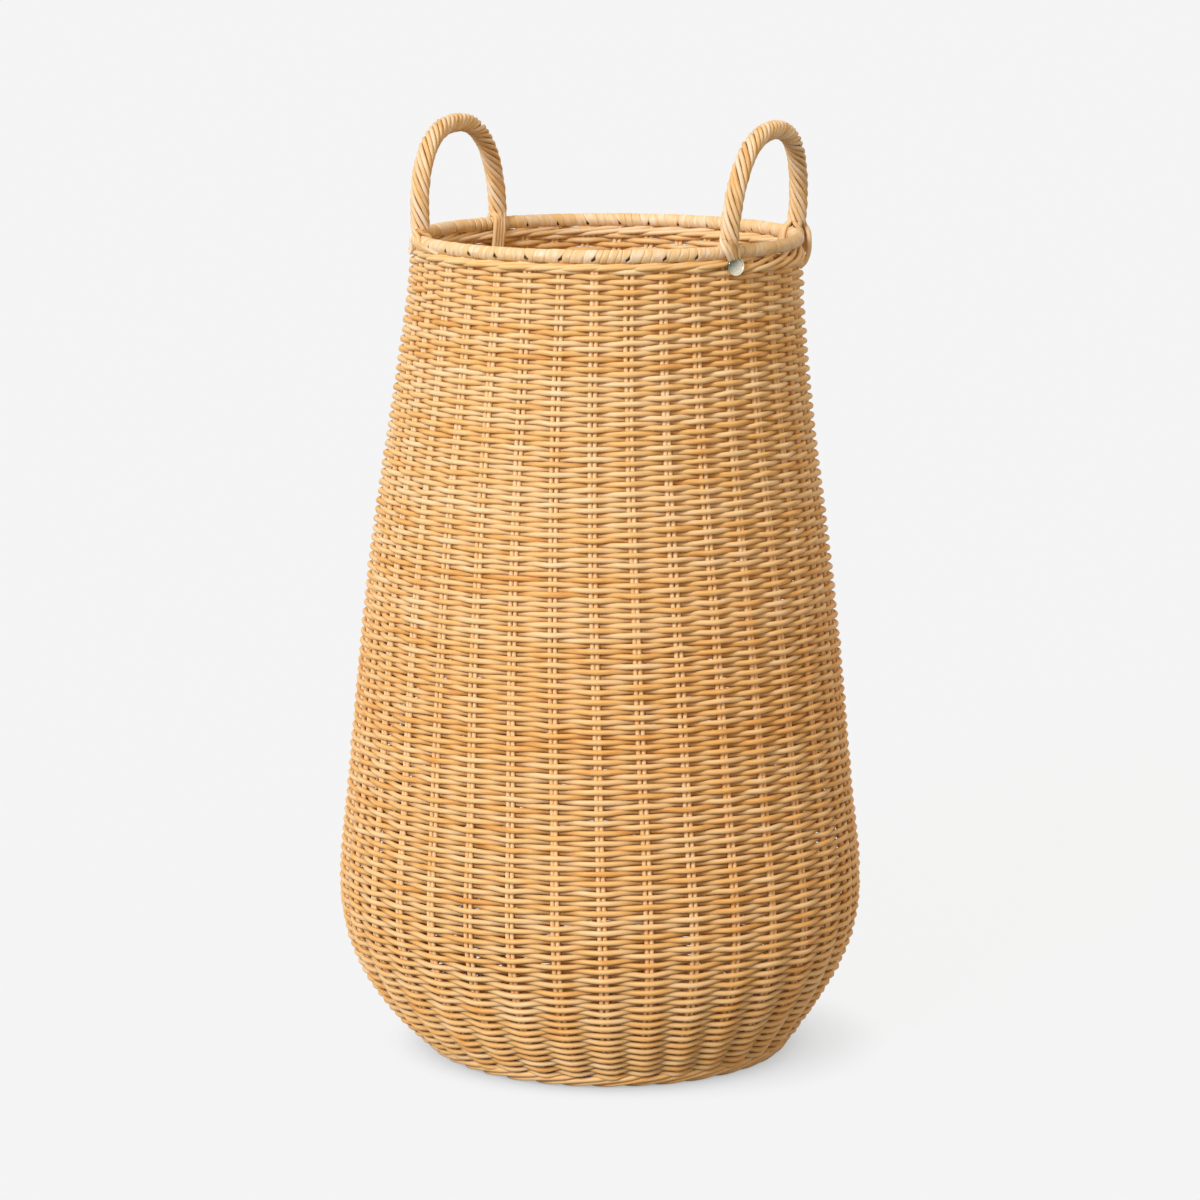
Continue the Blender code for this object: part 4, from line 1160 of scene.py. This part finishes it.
def rope_ends(strands, azimuth, inside, outside, thick, turn):
    """Carry each rod of a rope on from its end: the inner ones inside, the outer ones outside.

    turn swings the line that parts them, because the rope's twist goes on down to the rim. thick
    holds a rod's thickness at the rim and at its tip, as shares of the rope's rods.
    """
    middle, out, side = foot_frame(azimuth)
    first_away = np.linalg.norm(strands[:, 0].mean(0) - middle)
    if first_away < np.linalg.norm(strands[:, -1].mean(0) - middle):
        strands = strands[:, ::-1]
    end, before = strands[:, -1], strands[:, -LEAD_IN]
    outness, along = (end - middle) @ out, (end - middle) @ side
    order = np.argsort(outness * math.cos(turn) - along * math.sin(turn))
    along = along * math.cos(turn) + outness * math.sin(turn)
    paths = []
    most = max(len(route) for route in inside + outside)
    for group, routes in ((order[:len(inside)], inside), (order[len(inside):], outside)):
        for rod, route in zip(group[np.argsort(along[group])], routes):
            spots = [by_the_rim(azimuth, spot) for spot in route]
            spots = spots + [spots[-1]] * (most - len(spots))
            line = np.array([before[rod], end[rod], *spots])
            line = smooth_through(line, SPAN_STEPS * (len(line) - 1) + 1)
            paths.append(line[SPAN_STEPS:SPAN_STEPS * (1 + len(route)) + 1])
    longest = max(len(path) for path in paths)
    even = []
    for path in paths:
        at = np.linspace(0.0, len(path) - 1.0, longest)
        spot = np.arange(len(path))
        even.append(np.stack([np.interp(at, spot, path[:, k]) for k in range(3)], -1))
    paths = np.array(even)
    outward = unit(paths - (middle - FACE_DROP * UP))
    taper = np.interp(np.linspace(0.0, 1.0, longest), [0.0, AT_RIM, 1.0], [1.0, *thick])
    return tubes(paths, outward, ROPE_STRAND_RADIUS * taper, seed=int(abs(azimuth) * 100))


def spread(first, last, count):
    """Evenly spaced places, in millimetres, as metres."""
    return np.linspace(first, last, count) * 0.001


# %% The four feet
# at the right handle's back foot one thick rod hangs outside in a loop, and one lies beside it
LOOP = ((0.0116, 0.0000, 0.0058), (0.0140, -0.0004, 0.0010), (0.0150, -0.0008, -0.0060),
        (0.0150, -0.0012, -0.0140), (0.0126, -0.0020, -0.0212), (0.0080, -0.0030, -0.0258))
BY_THE_LOOP = ((0.0102, 0.0030, 0.0058), (0.0118, 0.0032, 0.0010), (0.0126, 0.0028, -0.0060),
               (0.0120, 0.0020, -0.0140), (0.0080, 0.0010, -0.0210))
# at its front foot four rods slant across the rim, down behind the tag
ACROSS = (((0.0062, -0.0054, 0.0045), (0.0073, -0.0033, 0.0), (0.0056, 0.0016, -0.0062)),
          ((0.0076, -0.0022, 0.0045), (0.0074, 0.0001, 0.0), (0.0057, 0.0039, -0.0062)),
          ((0.0088, 0.0006, 0.0045), (0.0078, 0.0029, 0.0), (0.0058, 0.0061, -0.0062)),
          ((0.0082, 0.0048, 0.0045), (0.0074, 0.0065, 0.0), (0.0057, 0.0080, -0.0062)))
# at the left handle's front foot a short tip pokes out under the rim
POKE = ((0.0058, 0.0000, 0.0046), (0.0068, 0.0002, -0.0004), (0.0066, 0.0002, -0.0050),
        (0.0082, -0.0004, -0.0088))
# the rope, where it stands, the ways inside and outside, thickness and turn
FEET = {
    "right_handle_front_ends": (
        "right", -HANDLE_HALF_SPAN,
        down_inside(zip(spread(-1, 8, 4), spread(0, 8, 4)), 0.0100, over=[(0.0012, 0.0078)]),
        list(ACROSS), (1.06, 1.0), math.radians(80.0)),
    "right_handle_back_ends": (
        "right", HANDLE_HALF_SPAN,
        down_inside(zip(spread(-4, -1, 2), spread(-5, -1, 2)), 0.0440)
        + down_inside([(0.0020, 0.0030)], 0.0440, over=[(0.0012, 0.0070)]),
        down_outside([(-0.0040, -0.0045, -0.0030)], 0.0105, tuck=0.0040)
        + down_outside([(-0.0015, -0.0020, 0.0)], 0.0125, reach=NEAR + 0.0016, tuck=0.0010)
        + [LOOP, BY_THE_LOOP] + down_outside([(0.0045, 0.0065, 0.0090)], 0.0125),
        (1.16, 1.06), math.radians(45.0)),
    "left_handle_front_ends": (
        "left", math.pi + HANDLE_HALF_SPAN,
        down_inside(zip(spread(-4, 4, 4), spread(-5, 4, 4)), 0.0440),
        [POKE]
        + down_outside(zip(spread(-2, 4, 3), spread(6, 20, 3), spread(26, 46, 3)), 0.0048,
                       reach=NEAR - 0.0012, tuck=0.0030), (1.0, 0.84), math.radians(45.0)),
    "left_handle_back_ends": (
        "left", math.pi - HANDLE_HALF_SPAN,
        down_inside(zip(spread(-3, 4, 4), spread(-0.9, 7.5, 4)), 0.0440),
        down_outside(zip(spread(-4, 4, 4), spread(-4, 5, 4), spread(-1, 8, 4)), 0.0145),
        (1.0, 0.92), math.radians(45.0)),
}
for solid, (side, azimuth, *routes) in FEET.items():
    mesh = build_mesh(solid, [rope_ends(ropes[side], azimuth, *routes)], sharp=60)
    add_piece(solid.replace("_ends", "_rods"), mesh, handle_finish, "rattan_handle", solid)

# %% [markdown]
# ## Metal tag
#
# A small domed stud sits by one handle. It is bare brass, pale on one side and a dark green-grey
# on the other, by a gradient across it. A turned shape needs only its outline: radius against
# depth, swept round. In front it is a shallow parabola inside a rounded bead. Behind lie a flat
# back and a thin shank.

# %% The finish of brass
TAG_HEADING = math.radians(-38.0)
TAG_CENTRE = 0.5 * sum(np.array(corner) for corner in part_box("tag_stud"))
PALE_SIDE = np.array([-0.6 * math.sin(TAG_HEADING), 0.6 * math.cos(TAG_HEADING), -0.8])
PALE_RISE = 120.0                        # how fast the dark gives way to pale towards that side
PALE_START, PALE_NOISE = 0.14, 0.5
BRASS_ROUGHNESS, SCUFF_ROUGHNESS = 0.16, 0.16
DARK_BRASS, PALE_BRASS = (0.13, 0.14, 0.095), (0.88, 0.83, 0.66)
SCUFFS = 900.0                           # scuffs for each metre
brass, brass_tree, brass_shader = new_finish("pale_brass")
brass_shader.inputs["Metallic"].default_value = 1.0
scuffs = node(brass_tree, "ShaderNodeTexNoise", Scale=SCUFFS, Detail=4.0)
brass_tree.links.new(on_object(brass_tree), scuffs.inputs["Vector"])
brass_ramp = node(brass_tree, "ShaderNodeValToRGB")
brass_ramp.color_ramp.elements[0].color = (*DARK_BRASS, 1.0)
brass_ramp.color_ramp.elements[1].color = (*PALE_BRASS, 1.0)
across_tag = node(brass_tree, "ShaderNodeVectorMath", operation="DOT_PRODUCT")
across_tag.inputs[1].default_value = PALE_SIDE
brass_tree.links.new(on_object(brass_tree), across_tag.inputs[0])
paleness = maths(brass_tree, "SUBTRACT", across_tag.outputs["Value"], float(TAG_CENTRE @ PALE_SIDE))
paleness = maths(brass_tree, "MULTIPLY_ADD", paleness, PALE_RISE, PALE_START)
paleness = maths(brass_tree, "MULTIPLY_ADD", scuffs.outputs["Fac"], PALE_NOISE, paleness)
brass_tree.links.new(paleness, brass_ramp.inputs["Fac"])
brass_tree.links.new(brass_ramp.outputs["Color"], brass_shader.inputs["Base Color"])
dull = maths(brass_tree, "MULTIPLY_ADD", scuffs.outputs["Fac"], SCUFF_ROUGHNESS, BRASS_ROUGHNESS)
brass_tree.links.new(dull, brass_shader.inputs["Roughness"])
print("the tag's middle is at", [round(float(x), 4) for x in TAG_CENTRE])

# %% The tag


def revolve(outline, sides, middle, axis):
    """Sweep (radius, along) points round an axis: middle + radius * (cos u + sin v) + along * axis.

    The first and the last ring are closed with a cap each.
    """
    radius, along = np.array(outline).T
    u = unit(np.cross(UP, axis))
    v = np.cross(axis, u)
    turn = 2.0 * np.pi * np.arange(sides) / sides
    ring = np.cos(turn)[:, None] * u + np.sin(turn)[:, None] * v
    rings = middle + radius[:, None, None] * ring + along[:, None, None] * axis
    count = len(outline)
    i, j = np.meshgrid(np.arange(count - 1), np.arange(sides), indexing="ij")
    k = (j + 1) % sides
    faces = np.stack([i * sides + j, i * sides + k, (i + 1) * sides + k, (i + 1) * sides + j], -1)
    chart = np.stack([np.stack([along[a], b / sides], -1) for a, b in
                      ((i, j), (i, j + 1), (i + 1, j + 1), (i + 1, j))], 2)
    top = np.arange(sides) + (count - 1) * sides
    caps = np.stack([np.arange(sides)[::-1], top])
    return rings.reshape(-1, 3), [(faces.reshape(-1, 4), chart.reshape(-1, 4, 2)),
                                  (caps, np.zeros((2, sides, 2)))]


TAG_TILT = 0.06                          # how far it faces up
TAG_PROUD = 0.0024                       # from the solid tag's front out to the tag's middle
FACE_DEPTH = 0.0015                      # points this near its front give the middle of its face
DOME_TOP, DOME_HEIGHT = -0.0004, 0.0012  # along the axis, from the tag's middle
MIDDLE_HOLE = 0.00001                    # the cap in the middle is too small to see
BEAD_IN, BEAD_WIDE, BEAD_HIGH, BEAD_FALL = 0.0054, 0.0016, 0.0007, 0.0003
EDGE_END, BACK, SHANK_END = -0.0027, -0.0031, -0.0135
BEVEL = 0.0005
SHANK_RADIUS = 0.0010
wall_heading = math.radians(-28.6)       # the solid tag faces square out of the wall
wall_axis = np.array([math.cos(wall_heading), math.sin(wall_heading), 0.0])
tag_axis = unit(np.array([math.cos(TAG_HEADING), math.sin(TAG_HEADING), TAG_TILT]))
tag_low, tag_high = (np.array(corner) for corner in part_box("tag_stud"))
TAG_RADIUS = 0.5 * (tag_high[2] - tag_low[2])
tag_points = np.array([v.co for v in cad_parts["tag_stud"].data.vertices])
outness = tag_points @ wall_axis
tag_middle = tag_points[outness > outness.max() - FACE_DEPTH].mean(axis=0)
tag_middle = tag_middle + wall_axis * (outness.max() + TAG_PROUD - tag_middle @ wall_axis)
dome = [(MIDDLE_HOLE + BEAD_IN * s, DOME_TOP - DOME_HEIGHT * s * s) for s in np.linspace(0.0, 1.0, 8)]
bead = [(BEAD_IN + 0.5 * BEAD_WIDE * (1.0 - math.cos(a)), DOME_TOP - DOME_HEIGHT
         + BEAD_HIGH * math.sin(a) - BEAD_FALL * (1.0 - math.cos(a)))
        for a in np.linspace(0.0, np.pi, 9)[1:]]
outline = dome + bead + [(TAG_RADIUS, EDGE_END), (TAG_RADIUS - BEVEL, BACK), (SHANK_RADIUS, BACK),
                         (SHANK_RADIUS, SHANK_END)]
tag_mesh = build_mesh("tag_dome", [revolve(outline[::-1], 48, tag_middle, tag_axis)], sharp=50)
add_piece("tag_dome", tag_mesh, brass, "brass", "tag_stud")

# %% [markdown]
# ## What stays of the solid model
#
# The core rods of the handles and the tag's washer have the right shape already, so they stay
# and only get a finish. They read Object coordinates, because they carry no map of their own.

# %% Finishes for the solids that stay
SPACE_GRAIN = (900.0, 900.0, 60.0)       # waves for each metre: the fibres are drawn out upwards
CORE_PALE, CORE_WARM = (0.64, 0.38, 0.16), (0.42, 0.20, 0.06)
CORE_ROUGHNESS = 0.6


def plain_rattan(name, pale, low_shade):
    """Rattan for a solid without a map: noise in space picks a tone between two."""
    finish, tree, shader = new_finish(name)
    place = node(tree, "ShaderNodeMapping", Scale=SPACE_GRAIN)
    tree.links.new(on_object(tree), place.inputs["Vector"])
    fibre = node(tree, "ShaderNodeTexNoise", Scale=1.0, Detail=3.0)
    tree.links.new(place.outputs[0], fibre.inputs["Vector"])
    ramp = node(tree, "ShaderNodeValToRGB")
    ramp.color_ramp.elements[0].color = (*pale, 1.0)
    ramp.color_ramp.elements[1].color = (*low_shade, 1.0)
    tree.links.new(fibre.outputs["Fac"], ramp.inputs["Fac"])
    tree.links.new(ramp.outputs["Color"], shader.inputs["Base Color"])
    shader.inputs["Roughness"].default_value = CORE_ROUGHNESS
    return finish


core_finish = plain_rattan("core_rattan", CORE_PALE, CORE_WARM)
for name, finish in (("right_handle_core", core_finish), ("left_handle_core", core_finish),
                     ("tag_washer", brass)):
    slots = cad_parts[name].data.materials
    slots.clear()
    slots.append(finish)
    print(name, "gets", finish.name)

# %% [markdown]
# ## Floor, light and camera
#
# The basket stands on a plain pale floor, and the light comes mostly from the front left. A wide
# sun lamp, slightly cool, lights that side. A warm sky fills the rest, as light does that has
# been thrown from rod to rod. Both stay at a plain level, so a colour renders about as written.
#
# A floor in that light would be grey. So it is mixed from two shares. One is a real floor, which
# takes the lamp's shadow. The other shines evenly, and only the camera, mirrors and glass see it,
# so it throws no light on the basket. Three things lower the shine where a real floor would be
# in shade: an Ambient Occlusion node close to the foot, a soft disc on the right, where the
# basket keeps the lamp's light off, and a disc under the base.

# %% The floor
BACKDROP = 0.90                          # brightness of floor and backdrop, where one is white
FLOOR_TONE = (0.25, 0.275, 0.325)        # of the real share; under the warm sky it renders grey
FLOOR_GLOW = 0.90                        # the share that shines
FLOOR_LEVEL = 1.087                      # its strength, at which both shares make the backdrop
FLOOR_REACH = 60.0
SHADE, SHADE_REACH, SHADE_POWER = 0.54, 0.030, 3.0    # how much goes by the foot, how far out
UNDER_LEVEL = 0.06                       # what stays of the shine under the base
UNDER_FROM, UNDER_TO = FOOT_RADIUS - 0.022, FOOT_RADIUS - 0.008
LEE_LEVEL = 0.80                         # and in the basket's lee
LEE_HEADING = math.radians(20.0)         # which lies to the right in the picture
LEE_SHIFT, LEE_FADE = 0.052, 0.040


def plain_rays(tree):
    """One for rays from the camera, a mirror or glass, and nought for all others."""
    rays = node(tree, "ShaderNodeLightPath")
    seen = maths(tree, "MAXIMUM", rays.outputs["Is Camera Ray"], rays.outputs["Is Glossy Ray"])
    return maths(tree, "MAXIMUM", seen, rays.outputs["Is Transmission Ray"])


def disc(tree, middle, inner, outer, level):
    """A soft disc: level inside it and one outside, by the distance from its middle."""
    away = node(tree, "ShaderNodeVectorMath", operation="DISTANCE")
    tree.links.new(on_object(tree), away.inputs[0])
    away.inputs[1].default_value = middle
    return fade(tree, away.outputs["Value"], inner, outer, level, 1.0, kind="SMOOTHSTEP")


floor_mesh = bpy.data.meshes.new("floor")
corners = [(x * FLOOR_REACH, y * FLOOR_REACH, 0.0) for x, y in ((-1, -1), (1, -1), (1, 1), (-1, 1))]
floor_mesh.from_pydata(corners, [], [(0, 1, 2, 3)])
floor = bpy.data.objects.new("floor", floor_mesh)
bpy.context.scene.collection.objects.link(floor)
floor_finish, floor_tree, floor_shader = new_finish("pale_floor")
floor_shader.inputs["Base Color"].default_value = (*FLOOR_TONE, 1.0)
floor_shader.inputs["Roughness"].default_value = 1.0
floor_shader.inputs["Specular IOR Level"].default_value = 0.0

near = node(floor_tree, "ShaderNodeAmbientOcclusion", samples=16, Distance=SHADE_REACH)
hidden = maths(floor_tree, "SUBTRACT", 1.0, near.outputs["AO"])
hidden = maths(floor_tree, "POWER", hidden, SHADE_POWER)
shine = maths(floor_tree, "MULTIPLY_ADD", hidden, -SHADE * FLOOR_LEVEL, FLOOR_LEVEL)
under = disc(floor_tree, (0.0, 0.0, 0.0), UNDER_FROM, UNDER_TO, UNDER_LEVEL)
lee_middle = (LEE_SHIFT * math.cos(LEE_HEADING), LEE_SHIFT * math.sin(LEE_HEADING), 0.0)
lee = disc(floor_tree, lee_middle, FOOT_RADIUS - LEE_FADE, FOOT_RADIUS + LEE_FADE, LEE_LEVEL)
shine = maths(floor_tree, "MULTIPLY", maths(floor_tree, "MULTIPLY", shine, under), lee)

glow = node(floor_tree, "ShaderNodeEmission", Color=(BACKDROP, BACKDROP, BACKDROP, 1.0))
floor_tree.links.new(shine, glow.inputs["Strength"])
blend = node(floor_tree, "ShaderNodeMixShader")
floor_tree.links.new(maths(floor_tree, "MULTIPLY", plain_rays(floor_tree), FLOOR_GLOW), blend.inputs[0])
floor_tree.links.new(floor_shader.outputs[0], blend.inputs[1])
floor_tree.links.new(glow.outputs[0], blend.inputs[2])
floor_tree.links.new(blend.outputs[0], floor_tree.nodes["Material Output"].inputs["Surface"])
floor_mesh.materials.append(floor_finish)
print("the floor shines with a share of", FLOOR_GLOW)

# %% Sky and lamp
SKY = 0.77
SKY_TINT = (1.0, 0.80, 0.54)
LAMP_POWER = 2.48
LAMP_COLOUR = (0.955, 1.0, 1.085)
LAMP_WIDTH = math.radians(18.0)          # how wide it looks from the basket, for soft shadows
LIGHT_AZIMUTH = math.radians(-103.0)     # the side it comes from
LIGHT_ELEVATION = math.radians(30.0)
world = bpy.data.worlds.new("studio")
bpy.context.scene.world = world
world.use_nodes = True
sky_tree = world.node_tree
sky = sky_tree.nodes["Background"]
shown = plain_rays(sky_tree)
sky_tree.links.new(maths(sky_tree, "MULTIPLY_ADD", shown, BACKDROP - SKY, SKY), sky.inputs["Strength"])
tint = node(sky_tree, "ShaderNodeMix", data_type="RGBA")
sky_tree.links.new(shown, tint.inputs[0])
tint.inputs[6].default_value = (*SKY_TINT, 1.0)
tint.inputs[7].default_value = (1.0, 1.0, 1.0, 1.0)
sky_tree.links.new(tint.outputs[2], sky.inputs["Color"])

lamp = bpy.data.lights.new("window", "SUN")
lamp.energy = LAMP_POWER
lamp.color = LAMP_COLOUR
lamp.angle = LAMP_WIDTH
key = bpy.data.objects.new("window", lamp)
bpy.context.scene.collection.objects.link(key)
key.rotation_euler = (0.5 * math.pi - LIGHT_ELEVATION, 0.0, LIGHT_AZIMUTH + 0.5 * math.pi)
print("the sun stands", round(math.degrees(LIGHT_ELEVATION)), "degrees high")

# %% [markdown]
# The camera stands three metres away, higher than the handles, and looks slightly down. A long
# lens keeps the sides of the basket nearly parallel, as in a catalogue picture.

# %% Camera
CAMERA_DISTANCE = 3.1
CAMERA_HEIGHT = 0.9053
CAMERA_PITCH = math.radians(10.28)
CAMERA_TURN = math.radians(20.0)         # how far it stands to the right of the front
LENS, SENSOR = 124.44, 36.0              # millimetres
lens = bpy.data.cameras.new("camera")
lens.lens = LENS
lens.sensor_width = SENSOR
camera = bpy.data.objects.new("camera", lens)
bpy.context.scene.collection.objects.link(camera)
camera.location = (CAMERA_DISTANCE * math.sin(CAMERA_TURN), -CAMERA_DISTANCE * math.cos(CAMERA_TURN),
                   CAMERA_HEIGHT)
camera.rotation_euler = (0.5 * math.pi - CAMERA_PITCH, 0.0, CAMERA_TURN)
bpy.context.scene.camera = camera
bpy.context.scene.view_settings.view_transform = "Standard"
print("the camera stands at", [round(x, 2) for x in camera.location])
